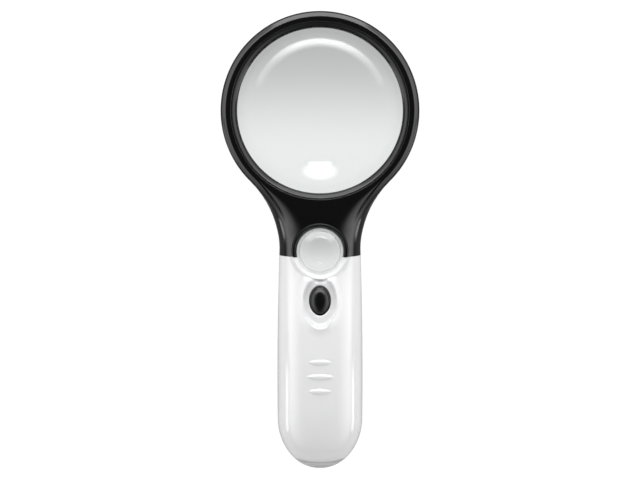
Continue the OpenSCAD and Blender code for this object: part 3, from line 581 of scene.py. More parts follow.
class MagnifierFinishes(PropertyGroup):
    """Colours and gloss of the finished part."""

    head_colour: colour_setting("Head", "Colour of the ring and neck", (0.0035, 0.0035, 0.004))
    head_roughness: share_setting("Head roughness", "Roughness of the ring and neck", 0.15)
    bezel_colour: colour_setting("Bezel", "Colour of the lens bezel", (0.005, 0.005, 0.0055))
    bezel_roughness: share_setting("Bezel roughness", "Roughness of the lens bezel", 0.22)
    handle_colour: colour_setting("Handle", "Colour of the handle", (0.83, 0.83, 0.838))
    handle_roughness: share_setting("Handle roughness", "Roughness of the handle", 0.07)
    # Painted shade: the cover's grey stands in for the shade on its nose, which faces away from the light.
    cover_colour: colour_setting("Cover", "Colour of the battery cover", (0.6, 0.6, 0.605))
    cover_roughness: share_setting("Cover roughness", "Roughness of the battery cover", 0.24)
    button_colour: colour_setting("Button", "Colour of the push button", (0.0035, 0.0035, 0.0038))
    button_roughness: share_setting("Button roughness", "Roughness of the push button", 0.19)
    lens_tint: colour_setting("Lens", "Tint of the lenses", (0.962, 0.99, 0.982))


class MagnifierStage(PropertyGroup):
    """Camera and lights."""

    camera_height: length_setting("Camera height", "Height of the camera above the table", 2.0)
    frame_width: length_setting("Frame width", "Width that the image takes in at the object", 0.27104)
    key: level_setting("Key light", "Brightness of the light past the head", 2.6)
    lens: level_setting("Lens light", "Brightness of the small light above the head", 7.0)
    sides: level_setting("Side lights", "Brightness of the lights at the sides", 3.4)
    arch: level_setting("Arch light", "Brightness of the arched light over the head", 14.0)
    room: level_setting("Room", "Brightness of the pale room at the sides", 1.75)
    front: level_setting("Room front", "Brightness of the pale room past the head", 1.3)
    back: level_setting("Room back", "Brightness of the room below the handle", 0.95)
    ceiling: level_setting("Ceiling", "Brightness of the room above eye level", 0.19)
    table: level_setting("Table", "Brightness of the white table as the camera sees it", 1.12)


def lens_profile(r, edge_t, front_r, rear_r, z, rim=0.25, rings=60):
    """Half outline of a lens with two curved faces, from the front pole to the rear one."""
    at = r * eased(rings)
    front = np.stack([at, z + edge_t / 2 + sag(r, front_r) - sag(at, front_r)], -1)
    rear = np.stack([at, z - edge_t / 2 - sag(r, rear_r) + sag(at, rear_r)], -1)
    outline = [front[-2], front[-1], rear[-1], rear[-2]]
    rim_path = rounded(outline, [0, rim, rim, 0], 4)
    return np.concatenate([front[:-2], rim_path, rear[-3::-1]])


class MAGNIFIER_OT_lenses(Operator):
    """Make the main lens and the small lens with its flat rim"""

    bl_idname = "magnifier.lenses"
    bl_label = "Lenses"

    def execute(self, context):
        outline = lens_profile(MAIN_R, MAIN_EDGE, MAIN_FACE_R, MAIN_FACE_R, MAIN_MID)
        r, z = outline.T
        face_r, seat_r = 34.4, 36.6
        face_z = MAIN_POLE - sag(face_r, MAIN_FACE_R)
        rim = [(face_r, face_z), (face_r + 0.35, face_z - 0.3), (seat_r, 9.45)]
        front = outline[(r < face_r) & (z > MAIN_MID)]
        rest = outline[(r > seat_r - 0.1) | (z < MAIN_MID)]
        main = turned(np.concatenate([front, rim, rest]), 0, 0, 240, solid=True)
        piece("main_lens_clear", main, ["main_lens"], 30)

        dome_r, dome_face_r, pole, rim_low, step = 8.5, 20.5, 18.2, 14.6, 0.15
        at = dome_r * eased(50)
        front = np.stack([at, pole - sag(at, dome_face_r)], -1)
        flat = front[-1][1] - 0.45
        corners = [front[-1], (dome_r + step, flat), (LOUPE_R - step, flat), (LOUPE_R, flat - step)]
        rim = rounded(corners, [0, 0.12, 0, 0], 4)
        rear = lens_profile(LOUPE_R, 2.0, 25.0, 25.0, 15.1)
        rear = rear[len(rear) // 2 :]
        outline = np.concatenate([front[:-1], rim, rear[rear[:, 1] < rim_low]])
        small = turned(outline, 0, LOUPE_DROP, 200, solid=True)
        obj = piece("small_lens_clear", small, ["small_lens"], 24)
        x, y, z = small[0].T
        marked(obj.data, "frost", (np.hypot(x, y - LENS_Y + LOUPE_DROP) > dome_r + 0.1) & (z > rim_low))
        return {"FINISHED"}


class MAGNIFIER_OT_rings(Operator):
    """Make the lens bezel and the sleeve behind the small lens"""

    bl_idname = "magnifier.rings"
    bl_label = "Bezel and sleeve"

    def execute(self, context):
        inner_r, outer_r, slope_w, top, lip = 35.0, 37.6, 2.35, 15.9, 14.31
        t = np.linspace(1, 0, 14)[1:-1]
        slope = np.stack([inner_r + slope_w * t, top - 0.353 * (1 - t) - 1.234 * np.square(1 - t)], -1)
        outline = [(inner_r, 10.01), (outer_r, 9.35), (outer_r, top), (inner_r + slope_w, top), *slope]
        radii = [0.1, 0.1, 0.08, *[0.0] * (len(slope) + 1), 0.1]
        bezel = turned(rounded([*outline, (inner_r, lip)], radii, 5, True), 0, 0, 200)
        piece("lens_bezel_ring", bezel, ["lens_bezel"])
        tube_r, low, high = 9.2, 1.05, 13.58
        outline = [(tube_r, low), (LOUPE_R, low), (LOUPE_R, high), (tube_r, high)]
        sleeve = turned(rounded(outline, [0.2] * 4, 4, True), 0, LOUPE_DROP, 120)
        piece("loupe_sleeve_tube", sleeve, ["loupe_sleeve"])
        return {"FINISHED"}


# Shares of the half width at which a row across the front has its points
COLUMN_SHARES = np.concatenate([[0, 0.006, 0.014, 0.025, 0.04, 0.06], 0.06 + 0.94 * eased(51)[1:]])
MIDDLE_GAP = len(COLUMN_SHARES) - 1


def collar_part(head):
    """Half of the collar round the small lens, cut at the leaning seam."""
    lip_r, bore_r, low, lip_low, lip_top = 9.87, 10.3, 13.2, 16.3, 16.6
    mouth_r, outer_round, mouth_round = (10.7, 0.3, 0.15) if head else (11.3, 0.0, 0.25)
    outline = [(lip_r, lip_top), (lip_r, lip_low), (bore_r, lip_low), (bore_r, low), (COLLAR_R, low)]
    outline += [(COLLAR_R, COLLAR_TOP), (mouth_r, COLLAR_TOP)]
    outline = rounded(outline, [0.1, 0.0, 0.0, 0.1, 0.0, outer_round, mouth_round], 5, True)

    def until(r, z):
        reach = SEAM_DROP - LOUPE_DROP + (-HALF_SEAM if head else HALF_SEAM) - SEAM_LEAN * (SEAM_Z - z)
        angle = np.arccos(np.clip(reach / r, -1, 1))
        return math.pi - angle if head else angle

    verts, faces = turned(outline, 0, LOUPE_DROP, 72, until=until)
    if not head:
        return verts, faces
    verts = verts.copy()
    verts[:, 1] = 2 * (LENS_Y - LOUPE_DROP) - verts[:, 1]
    return closed(verts, faces)


def ring_outline(bevel_round, count):
    """Flank of the ring from its land over the bevel to the parting, as (distance from the edge, height)."""
    shoulder_r, brow_w, edge_r = 0.9, 0.5, 0.5 * bevel_round
    lean = np.radians(np.linspace(0, 35, 14))
    arc = np.stack([BEVEL_W - shoulder_r * np.sin(lean), RING_T - shoulder_r * (1 - np.cos(lean))], -1)
    brow = (brow_w, arc[-1][1] - (arc[-1][0] - brow_w) * math.tan(lean[-1]))
    edge = rounded([arc[-1], brow, (0, RING_T - BEVEL_H), (0, FRONT_Z)], [0, edge_r, edge_r, 0], 6)
    return resample(np.concatenate([[(FLANK_W, RING_T)], arc[:-1], edge]), count)


def collar_reach(row_d, limit):
    """How far across a row meets the collar."""
    low, high = 0.0, limit
    for _ in range(40):
        mid = (low + high) / 2
        if mid**2 + (row_d(mid) - LOUPE_DROP) ** 2 < COLLAR_R**2:
            low = mid
        else:
            high = mid
    return high


def head_sheet(bevel_round, edge_round):
    """Outer surface of the ring and neck: the ring's flat land runs on as the neck's top, and its bevel
    widens into the neck's flanks."""
    tangent = math.acos(NECK_START / RING_R)
    flank_count = 44
    ring_flank = ring_outline(bevel_round, flank_count)
    land = rounded([(BORE_R, FRONT_Z), (BORE_R, RING_T), (LAND_R, RING_T)], [0, 0.25, 0], 5)
    turn = np.linspace(tangent, 2 * math.pi - tangent, 151)[:, None]
    r, z = np.concatenate([land, (ring_flank * (-1, 1) + (RING_R, 0))[1:]]).T
    ring = straight_points(r * np.sin(turn), r * np.cos(turn), z + 0 * turn)
    forms = [(ring, grid_faces(len(turn), len(r)))]

    shares = np.concatenate([-COLUMN_SHARES[::-1], COLUMN_SHARES])
    cols = len(shares)
    angle = np.arcsin(shares * math.sin(tangent))[None, :]
    r, z = land[:, :1], land[:, 1:]
    lip = straight_points(r * np.sin(angle), r * np.cos(angle), z + 0 * angle)
    forms.append((lip, grid_faces(len(land), cols, (MIDDLE_GAP,))))

    # Stations along the neck's side, spaced by where their rows cross the middle
    side_d = np.linspace(NECK_START, SEAM_DROP - HALF_SEAM, 600)
    side_w = half_width(side_d)
    slope = np.gradient(side_w, side_d) * (1 - smooth((side_d - 50) / 11))
    length = np.sqrt(1 + slope**2)
    share = smooth((side_d - 31) / 20)
    off_neck = FLANK_W + 1.5 * smooth((side_d - 30) / 25)
    off = (1 - share) * FLANK_W + share * off_neck
    edge_z = (1 - share) * RING_T + share * front_z(side_w - off_neck, side_d)
    edge_x = side_w - off / length
    edge_d = side_d + off * slope / length
    start_x, start_d = LAND_R * math.sin(tangent), LAND_R * math.cos(tangent)
    bulge = 1 - (side_d - NECK_START) / (side_d[-1] - NECK_START)
    middle = edge_d + bulge * (LAND_R - start_d)
    arch_top = LOUPE_DROP - COLLAR_R
    end = math.acos((LOUPE_DROP - middle[-1]) / COLLAR_R)
    wanted = np.concatenate([
        np.linspace(LAND_R, arch_top, 16)[:-1],
        LOUPE_DROP - COLLAR_R * np.cos(np.linspace(0, end, 34)),
    ])
    stations = np.arange(len(side_d))
    at = np.interp(wanted, middle, stations)
    values = (edge_x, edge_d, edge_z, share, bulge, side_d, side_w, slope, length, off_neck)

    rows, flanks = [], []
    for crossing, *picked in zip(wanted, *(np.interp(at, stations, v) for v in values)):
        ex, ed, ez, b, g, od, ow, tilt, run, flank_w = (float(v) for v in picked)

        def row_d(x):
            return ed + g * (np.sqrt(LAND_R**2 - (np.asarray(x) / ex * start_x) ** 2) - start_d)

        slit = collar_reach(row_d, ex) if crossing > arch_top + 1e-6 else 0.0
        x = slit + (ex - slit) * COLUMN_SHARES
        d = row_d(x)
        z = ez + b * (front_z(x, d) - front_z(ex, ed))
        rows.append(both_sides(x, d, z - edge_drop(np.hypot(x, d - LOUPE_DROP) - COLLAR_R, edge_round)))
        n, h = float(section_n(od)), float(crest(od)) - FRONT_Z
        a = np.linspace(math.acos(min(1.0, (1 - flank_w / ow) ** (n / 2))), 0, 80)
        neck_flank = np.stack([ow - ow * np.cos(a) ** (2 / n), FRONT_Z + h * np.sin(a) ** (2 / n)], -1)
        flank = (1 - b) * ring_flank + b * resample(neck_flank, flank_count)
        flanks.append(points(ow - flank[:, 0] / run, od + flank[:, 0] * tilt / run, flank[:, 1]))
    forms.append((np.concatenate(rows), grid_faces(len(rows), cols, (MIDDLE_GAP,))))
    forms += paired((np.concatenate(flanks), grid_faces(len(flanks), flank_count)))
    return joined(*forms)


class MAGNIFIER_OT_head(Operator):
    """Make the black head: ring, neck and the upper half of the small lens collar"""

    bl_idname = "magnifier.head"
    bl_label = "Head"

    def execute(self, context):
        sizes = context.scene.magnifier_sizes
        shell = thickened(*head_sheet(sizes.bevel_round / MM, sizes.edge_round / MM), HEAD_WALL)
        inner = posts(1.1, 2.5, FRONT_Z, float(front_z(15.5, HEAD_SCREW[1])) - 1.6, HEAD_SCREW)
        inner += posts(1.2, 2.7, 8.0, 10.0, HANDLE_SCREW)
        arm = block(12.2, 14.4, 58.6, 71.2, 7.4, 10.0)
        root = block(12.3, 16.2, 52.1, 60.3, 7.5, 9.9)
        form = joined(shell, collar_part(True), *inner, *paired(arm, root))
        piece("head_front_shell", form, ["head_front"], 38)
        merged_copy("head_rear", "head_rear_shell")
        return {"FINISHED"}


def slit_half(d):
    """Half the width of the opening at a drop: the collar's notch or the button's hole."""
    collar = math.sqrt(max(0.0, COLLAR_R**2 - (d - LOUPE_DROP) ** 2))
    button = HOLE_W / 2 * math.sqrt(max(0.0, 1 - ((d - BUTTON_DROP) / (HOLE_L / 2)) ** 2))
    half = max(collar, button)
    return half if half > 1e-4 else 0.0


def handle_z(x, d, sizes):
    """Height of the handle's front with its dish, lip, ridges and rounded openings."""
    z = front_z(x, d)
    oval = np.hypot(x / (DISH_W / 2), (d - DISH_DROP) / (DISH_L / 2))
    lip = sizes.dish_lip / MM * (0.3 + 0.7 * smooth((d - 84) / 7))
    inner = lip - (sizes.dish_depth / MM + lip) * (1 - smooth((oval - 0.8) / 0.2))
    outer = lip * np.square(1 - np.clip((oval - 1) / 0.3, 0, 1))
    rim = np.hypot(x, d - LOUPE_DROP) - COLLAR_R
    z = z + (COLLAR_TOP - z) * (1 - smooth(rim / 1.5))
    z = z + np.where(oval < 1, inner, outer)
    for ridge_drop, ridge_l in RIDGES:
        taper = np.maximum(0, 1 - np.square(x / (ridge_l / 2)))
        s = (d - ridge_drop) / (RIDGE_HALF * np.power(taper, 0.7) + 1e-6)
        z = z + sizes.ridge_height / MM * np.sqrt(taper) * np.power(np.maximum(0, 1 - s * s), 0.7)
    radius = 1.4 * sizes.edge_round / MM
    hole = np.hypot(x / (HOLE_W / 2), (d - BUTTON_DROP) / (HOLE_L / 2)) + 1e-9
    steep = np.hypot(x / (HOLE_W / 2) ** 2, (d - BUTTON_DROP) / (HOLE_L / 2) ** 2) / hole + 1e-9
    return z - edge_drop((hole - 1) / steep, radius)


def handle_sheet(sizes):
    """Outer surface of the handle's front, open at the collar and at the button."""
    seam_turn = math.asin((SEAM_DROP + HALF_SEAM - LOUPE_DROP) / COLLAR_R)
    rows = np.concatenate([
        LOUPE_DROP + COLLAR_R * np.sin(np.linspace(seam_turn, math.pi / 2, 30)),
        np.linspace(LOUPE_DROP + COLLAR_R, BUTTON_DROP - HOLE_L / 2, 10)[1:-1],
        BUTTON_DROP - HOLE_L / 2 * np.cos(np.linspace(0, math.pi, 40)),
        np.linspace(BUTTON_DROP + HOLE_L / 2, RIDGES_START, 42)[1:-1],
        np.linspace(RIDGES_START, RIDGES_END, 72),
        np.linspace(RIDGES_END, ROUND_DROP, 16)[1:-1],
        ROUND_DROP + (FRONT_END - ROUND_DROP) * eased(44),
    ])
    verts = []
    for d in rows:
        slit = slit_half(d)
        x = slit + (float(front_half(d)) - slit) * COLUMN_SHARES
        verts.append(both_sides(x, d, handle_z(x, d, sizes)))
    cols = 2 * len(COLUMN_SHARES)
    last = (len(rows) - 1) * cols
    faces = grid_faces(len(rows), cols, (MIDDLE_GAP,)) + [tuple(range(last, last + cols))]
    return np.concatenate(verts), faces


def bulkhead(d, gap=0.7, foot=13.0, low=4.1):
    """Cross wall inside the handle at an end of the battery bay."""
    heights = np.linspace(FRONT_Z, 12.2, 9)
    w, h = float(front_half(d + BULKHEAD_T)) - gap, float(crest(d)) - PARTING - gap
    n = float(section_n(d))
    half = w * np.power(1 - np.power((heights - PARTING) / h, n), 1 / n)
    outline = [(-foot, low), (foot, low), (foot, FRONT_Z), *zip(half, heights)]
    outline += [*zip(-half[::-1], heights[::-1]), (-foot, FRONT_Z)]
    x, z = np.array(outline).T
    m = len(x)
    verts = np.concatenate([straight_points(x, e, z) for e in (d, d + BULKHEAD_T)])
    faces = [tuple(range(m)), tuple(range(2 * m - 1, m - 1, -1))]
    faces += [(i, m + i, m + (i + 1) % m, (i + 1) % m) for i in range(m)]
    return closed(verts, faces)


class MAGNIFIER_OT_handle(Operator):
    """Make the white front of the handle and its fixed rear panel"""

    bl_idname = "magnifier.handle"
    bl_label = "Handle"

    def execute(self, context):
        sizes = context.scene.magnifier_sizes
        shell = thickened(*handle_sheet(sizes), sizes.shell_wall / MM)
        inner = [bulkhead(BAY_START - BULKHEAD_T), bulkhead(BAY_END)]
        inner += posts(1.05, 2.5, 10.1, float(front_z(12.5, HANDLE_SCREW[1])) - 0.6, HANDLE_SCREW)
        web = block(7.4, 8.6, 138.25, 141.35, 3.5, float(front_z(8.6, 141.4)) - 0.5)
        rail = block(8.4, 10.1, 138.15, 141.45, 3.4, 4.3)
        form = joined(shell, collar_part(False), *inner, *paired(web, rail))
        piece("handle_front_shell", form, ["handle_front"], 38)
        merged_copy("handle_rear", "handle_rear_panel")
        return {"FINISHED"}


def cover_ring(d, inset, count=81):
    """Points across the cover at a drop, from its right edge round the back to its left edge. The outer ones
    are lifted in five finger grooves."""
    waist, floor, nose = 3.4, 0.25, FRONT_END - 9
    past = max(0, d - nose) / (END_DROP - nose)
    fall = min(1.0, (END_DROP - d) / (END_DROP - FRONT_END - 0.45))
    top = waist + (PARTING - HALF_SEAM - waist) * fall
    bottom = floor + (waist - floor) * (1 - math.sqrt(max(0.004, 1 - past**2)))
    w = max(0.3, float(half_width(d)) - inset)
    h = max(0.05, top - bottom - inset)
    a = np.linspace(0, math.pi, count)
    c = np.cos(a)
    x = w * np.sign(c) * np.abs(c) ** 0.5
    z = top - h * np.sin(a) ** 0.5
    if inset == 0:
        groove_r, groove_gap, groove_half = 0.55, 2.4, 7
        back = (np.abs(x) < groove_half) & (z < 1.5)
        for i in range(5):
            reach = groove_r**2 - (d - (ROUND_DROP - 2 + groove_gap * i)) ** 2
            if reach > 0:
                z = np.where(back, np.maximum(z, 0.3 + math.sqrt(reach)), z)
    return straight_points(x, d, z)


def shell_form(outer, inner):
    """Closed shell between rings of outer points and fewer rings of inner points; its far end is solid."""
    m, k, n = len(outer), len(inner), len(outer[0])
    verts = np.concatenate([*outer, *inner])

    def o(i, j):
        return i * n + j

    def q(i, j):
        return (m + i) * n + j

    faces = grid_faces(m, n)
    faces += [tuple(reversed(f)) for f in grid_faces(k, n, first=m * n)]
    faces += [(o(0, j + 1), o(0, j), q(0, j), q(0, j + 1)) for j in range(n - 1)]
    for i in range(k - 1):
        faces += [(o(i, 0), o(i + 1, 0), q(i + 1, 0), q(i, 0))]
        faces += [(o(i, n - 1), q(i, n - 1), q(i + 1, n - 1), o(i + 1, n - 1))]
    faces.append(tuple(q(k - 1, j) for j in range(n)))
    faces.append((o(k - 1, 0), o(k, 0), o(k, n - 1), o(k - 1, n - 1), q(k - 1, n - 1), q(k - 1, 0)))
    faces += [(o(i, 0), o(i + 1, 0), o(i + 1, n - 1), o(i, n - 1)) for i in range(k, m - 1)]
    faces.append(tuple(o(m - 1, j) for j in range(n)))
    return closed(verts, faces)


class MAGNIFIER_OT_cover(Operator):
    """Make the sliding battery cover with its hooks, tongue and grooves"""

    bl_idname = "magnifier.cover"
    bl_label = "Battery cover"

    def execute(self, context):
        grooves_start, grooves_end, tray_end = 127.6, 139.0, FRONT_END - 1.7
        tray = np.concatenate([
            np.linspace(COVER_START, grooves_start, 24)[:-1],
            np.linspace(grooves_start, grooves_end, 70),
            np.linspace(grooves_end, tray_end, 20)[1:],
        ])
        end = np.concatenate([
            np.linspace(tray_end, FRONT_END, 4)[1:],
            FRONT_END + (END_DROP - FRONT_END) * eased(14)[1:],
        ])
        outer = [cover_ring(d, 0) for d in np.concatenate([tray, end])]
        shell = shell_form(outer, [cover_ring(d, COVER_WALL) for d in tray])
        hook = block(9.0, 11.5, 138.15, 141.45, 4.6, 5.5)
        leg = block(10.45, 11.4, 138.25, 141.35, 1.45, 5.4)
        tongue = block(-7, 7, 82.15, 87.75, 2.1, 3.25, 0.3)
        step = block(-6.9, 6.9, 85.35, 87.65, 1.25, 3.1)
        form = joined(shell, *paired(hook, leg), tongue, step)
        piece("battery_cover_tray", form, ["battery_cover"], 38, "cover")
        return {"FINISHED"}


class MAGNIFIER_OT_button(Operator):
    """Make the oval push button"""

    bl_idname = "magnifier.button"
    bl_label = "Push button"

    def execute(self, context):
        r, stretch, top, rise = 4.25, 12.0 / 8.5, 20.53, 2.45
        flange, flange_t, flange_r, stem_r = 16.69, 1.2, 5.15, 2.4
        stem = min(15.05, float(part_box("power_button")[0].z) / MM)
        a = np.linspace(0, math.pi / 2, 22)
        dome = np.stack([r * np.cos(a) ** 0.86, top - rise + rise * np.sin(a) ** 0.88], -1)
        dome[-1] = (0, top)
        outline = [(0, stem), (stem_r, stem), (stem_r, flange - flange_t), (flange_r, flange - flange_t)]
        outline += [(flange_r, flange), (r, flange), *dome]
        form = turned(outline, 0, BUTTON_DROP, 112, stretch, solid=True)
        piece("power_button_cap", form, ["power_button"], 40, "button")
        return {"FINISHED"}


def node_tree(name, inputs):
    """Geometry tree with named sizes; gives the tree and its inputs."""
    tree = bpy.data.node_groups.new(name, "GeometryNodeTree")
    tree.interface.new_socket("Geometry", in_out="INPUT", socket_type="NodeSocketGeometry")
    for label, value in inputs.items():
        tree.interface.new_socket(label, in_out="INPUT", socket_type="NodeSocketFloat").default_value = value
    tree.interface.new_socket("Geometry", in_out="OUTPUT", socket_type="NodeSocketGeometry")
    return tree, {label: add(tree, "NodeGroupInput", output=label) for label in ["Geometry", *inputs]}


def set_out(tree, places, shape, material_slot):
    """Ends a tree: the shape stands at every place, turned about X by the place's own angle."""
    turn = add(tree, "GeometryNodeInputNamedAttribute", {"Name": "turn"}, data_type="FLOAT")
    angles = add(tree, "ShaderNodeCombineXYZ", {"X": turn})
    turned_by = add(tree, "FunctionNodeEulerToRotation", {0: angles})
    inputs = {"Points": places, "Instance": shape, "Rotation": turned_by}
    copies = add(tree, "GeometryNodeInstanceOnPoints", inputs)
    plain = add(tree, "GeometryNodeRealizeInstances", {"Geometry": copies})
    inputs = {"Geometry": plain, "Material": finish(material_slot)}
    add(tree, "NodeGroupOutput", {0: add(tree, "GeometryNodeSetMaterial", inputs)})


def moved(tree, shape, z, scale=(1, 1, 1)):
    offset = add(tree, "ShaderNodeCombineXYZ", {"Z": z})
    inputs = {"Geometry": shape, "Translation": offset, "Scale": scale}
    return add(tree, "GeometryNodeTransform", inputs)


def spiral_wire(tree, turns, start_r, end_r, height, wire, around=10):
    inputs = {"Resolution": 40, "Rotations": turns, "Start Radius": start_r, "End Radius": end_r}
    path = add(tree, "GeometryNodeCurveSpiral", {**inputs, "Height": height})
    inputs = {"Resolution": around, "Radius": wire / 2}
    ring = add(tree, "GeometryNodeCurvePrimitiveCircle", inputs, mode="RADIUS")
    inputs = {"Curve": path, "Profile Curve": ring, "Fill Caps": True}
    return add(tree, "GeometryNodeCurveToMesh", inputs)


def grown(name, tree, places, values, nodes):
    """Piece grown by a tree at its places (across, drop, height, turn about X), as one plain mesh."""
    x, d, z, turn = np.array(places, float).T
    mesh = new_mesh(f"{name}_places", straight_points(x, d, z) * MM)
    marked(mesh, "turn", np.radians(turn))
    obj = placed(name, mesh)
    grow = obj.modifiers.new("grow", "NODES")
    grow.node_group = tree
    for item in tree.interface.items_tree:
        if item.in_out == "INPUT" and item.name in values:
            grow[item.identifier] = values[item.name]
    view = bpy.context.evaluated_depsgraph_get()
    result = bpy.data.meshes.new_from_object(obj.evaluated_get(view), depsgraph=view)
    obj.modifiers.remove(grow)
    obj.data = result
    bpy.data.meshes.remove(mesh)
    if not len(result.polygons):
        raise RuntimeError(f"{name}: the tree made nothing")
    return dressed(obj, nodes, 40)


class MAGNIFIER_OT_springs(Operator):
    """Grow the three cone springs that press on the cells"""

    bl_idname = "magnifier.springs"
    bl_label = "Battery springs"

    def execute(self, context):
        sizes = context.scene.magnifier_sizes
        defaults = {"Turns": 3.0, "Wide": 0.0037, "Narrow": 0.002, "Length": 0.00405, "Wire": 0.0006}
        tree, given = node_tree("cone_spring", defaults)
        wire = given["Wire"]
        coil = spiral_wire(tree, given["Turns"], given["Wide"], given["Narrow"], given["Length"] - wire, wire)
        set_out(tree, given["Geometry"], moved(tree, coil, wire / 2), "spring_steel")
        pitch, cell_z, upper, lower = 10.5, 8.6, 86.7, 135.35
        places = [(-pitch, lower, cell_z, -90), (0, upper, cell_z, 90), (pitch, lower, cell_z, -90)]
        nodes = [f"battery_spring_{side}" for side in SIDES]
        values = {"Turns": sizes.spring_turns, "Wire": sizes.spring_wire}
        grown("battery_cone_springs", tree, places, values, nodes)
        return {"FINISHED"}


class MAGNIFIER_OT_screws(Operator):
    """Grow the four cross-head screws on the back"""

    bl_idname = "magnifier.screws"
    bl_label = "Screws"

    def execute(self, context):
        defaults = {"Length": 0.009, "Head Radius": 0.0019, "Head Height": 0.0014, "Shank Radius": 0.001}
        tree, given = node_tree("cross_head_screw", {**defaults, "Pitch": 0.0008})
        length, head_r, head_h = given["Length"], given["Head Radius"], given["Head Height"]
        thread, tip_l, tip_r, plain = 0.00024, 0.0006, 0.0004, 0.001
        slot_l, slot_w, slot_d, cut, seat_z = 0.0022, 0.0005, 0.0016, 0.004, 1.55

        def cube(*size):
            return add(tree, "GeometryNodeMeshCube", {"Size": size})

        ball = add(tree, "GeometryNodeMeshUVSphere", {"Segments": 40, "Rings": 20, "Radius": head_r})
        squash = add(tree, "ShaderNodeCombineXYZ", {"X": 1.0, "Y": 1.0, "Z": head_h / head_r})
        cutters = [moved(tree, cube(0.01, 0.01, cut), head_h + cut / 2)]
        cutters += [cube(slot_l, slot_w, slot_d), cube(slot_w, slot_l, slot_d)]
        inputs = {"Mesh 1": moved(tree, ball, head_h, squash), "Mesh 2": cutters}
        head = add(tree, "GeometryNodeMeshBoolean", inputs, operation="DIFFERENCE")
        core_r = given["Shank Radius"] - thread / 2
        straight = length - tip_l
        inputs = {"Vertices": 32, "Radius": core_r, "Depth": straight}
        core = add(tree, "GeometryNodeMeshCylinder", inputs)
        inputs = {"Vertices": 32, "Radius Top": tip_r, "Radius Bottom": core_r, "Depth": tip_l}
        tip = add(tree, "GeometryNodeMeshCone", inputs)
        wound_l = length - 2 * plain
        wound = spiral_wire(tree, wound_l / given["Pitch"], core_r, core_r, wound_l, thread, 6)
        parts = [
            head,
            moved(tree, core, head_h + straight / 2),
            moved(tree, tip, head_h + straight),
            moved(tree, wound, head_h + plain),
        ]
        whole = add(tree, "GeometryNodeJoinGeometry", {"Geometry": parts})
        set_out(tree, given["Geometry"], whole, "screw_steel")
        for place, screw, length in (("head", HEAD_SCREW, 0.009), ("handle", HANDLE_SCREW, 0.011)):
            nodes = [f"{place}_screw_left", f"{place}_screw_right"]
            places = [(s * screw[0], screw[1], seat_z, 0) for s in (-1, 1)]
            grown(f"{place}_screws_cross", tree, places, {"Length": length}, nodes)
        return {"FINISHED"}


def cell_form(nub_first):
    """Cell lying along the drop: jacket with rolled ends, flat base and nub."""
    long, r, lip, base, roll, nub_r = 44.5, 5.15, 4.5, 0.25, 43.1, 1.9
    cap = roll - 0.35
    outline = [(0, 0), (3.4, 0), (3.6, base), (lip, base), (r, base), (r, roll), (lip, roll), (4.2, cap)]
    outline += [(nub_r, cap), (nub_r, long), (0, long)]
    outline = rounded(outline, [0, 0.2, 0, 0.1, 0.55, 0.55, 0.2, 0.2, 0.25, 0.3, 0], 5)
    verts, faces = turned(outline, 0, LENS_Y, 64, solid=True)
    x, y, z = verts.T
    return np.stack([x, long - z, y] if nub_first else [x, z, -y], -1), faces


class MAGNIFIER_OT_cells(Operator):
    """Make the three cells with their rolled jackets and steel ends"""

    bl_idname = "magnifier.cells"
    bl_label = "Cells"

    def execute(self, context):
        steel_r = 4.05
        for side in SIDES:
            node = f"cell_{side}"
            low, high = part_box(node)
            verts, faces = cell_form(side == "middle")
            place = ((low.x + high.x) / 2 / MM, low.y / MM, (low.z + high.z) / 2 / MM)
            form = (verts + place, faces)
            obj = piece(f"{node}_jacketed", form, [node], 30)
            marked(obj.data, "metal", np.hypot(verts[:, 0], verts[:, 2]) < steel_r)
        return {"FINISHED"}


class MAGNIFIER_OT_inner(Operator):
    """Give every solid that stays in view its own finish"""

    bl_idname = "magnifier.inner"
    bl_label = "Inner pieces"

    def execute(self, context):
        for node, obj in frame["nodes"].items():
            if obj.hide_render:
                continue
            if not obj.material_slots:
                obj.data.materials.append(None)
            for place in obj.material_slots:
                place.material = finish(SLOT_OF[node])
        return {"FINISHED"}


def stage_mesh(name, verts, faces, material):
    mesh = new_mesh(name, verts, faces)
    mesh.materials.append(material)
    obj = placed(name, mesh)
    return obj


def glowing(tree, strength):
    return add(tree, "ShaderNodeEmission", {"Color": grey(1.0), "Strength": strength})


def sheet_light(name, counts, place, fade, radiance, through=False):
    """Glowing sheet over a grid of shares from -1 to 1, out of the camera's sight. place and fade give the
    spot and the brightness at two shares. It shows in outer faces, or only in the far faces of the lenses."""
    rows, cols = (np.linspace(-1, 1, count) for count in counts)
    grid = [(u, v) for u in rows for v in cols]
    material, tree = new_tree(name)
    output(tree, glowing(tree, mark(tree, "fade") * radiance))
    sheet = stage_mesh(name, [place(u, v) for u, v in grid], grid_faces(*counts), material)
    marked(sheet.data, "fade", [fade(u, v) for u, v in grid])
    sheet.visible_camera = False
    sheet.visible_transmission = through
    sheet.visible_glossy = not through
    sheet.visible_shadow = False


def mirrored_place(turn, r, camera_height):
    """Place above the head that the camera sees mirrored in the main lens, on an arc round a point just past
    the lens axis."""
    arc_rise, light_height = 1.52, 0.41
    x, y = r * math.sin(turn), arc_rise + r * math.cos(turn)
    normal = Vector((x, y, math.sqrt(MAIN_FACE_R**2 - x * x - y * y))).normalized()
    place = Vector((x, LENS_Y + y, MAIN_POLE - sag(math.hypot(x, y), MAIN_FACE_R))) * MM
    ray = (place - Vector((0, 0, camera_height))).normalized().reflect(normal)
    return place + ray * ((light_height - place.z) / ray.z)


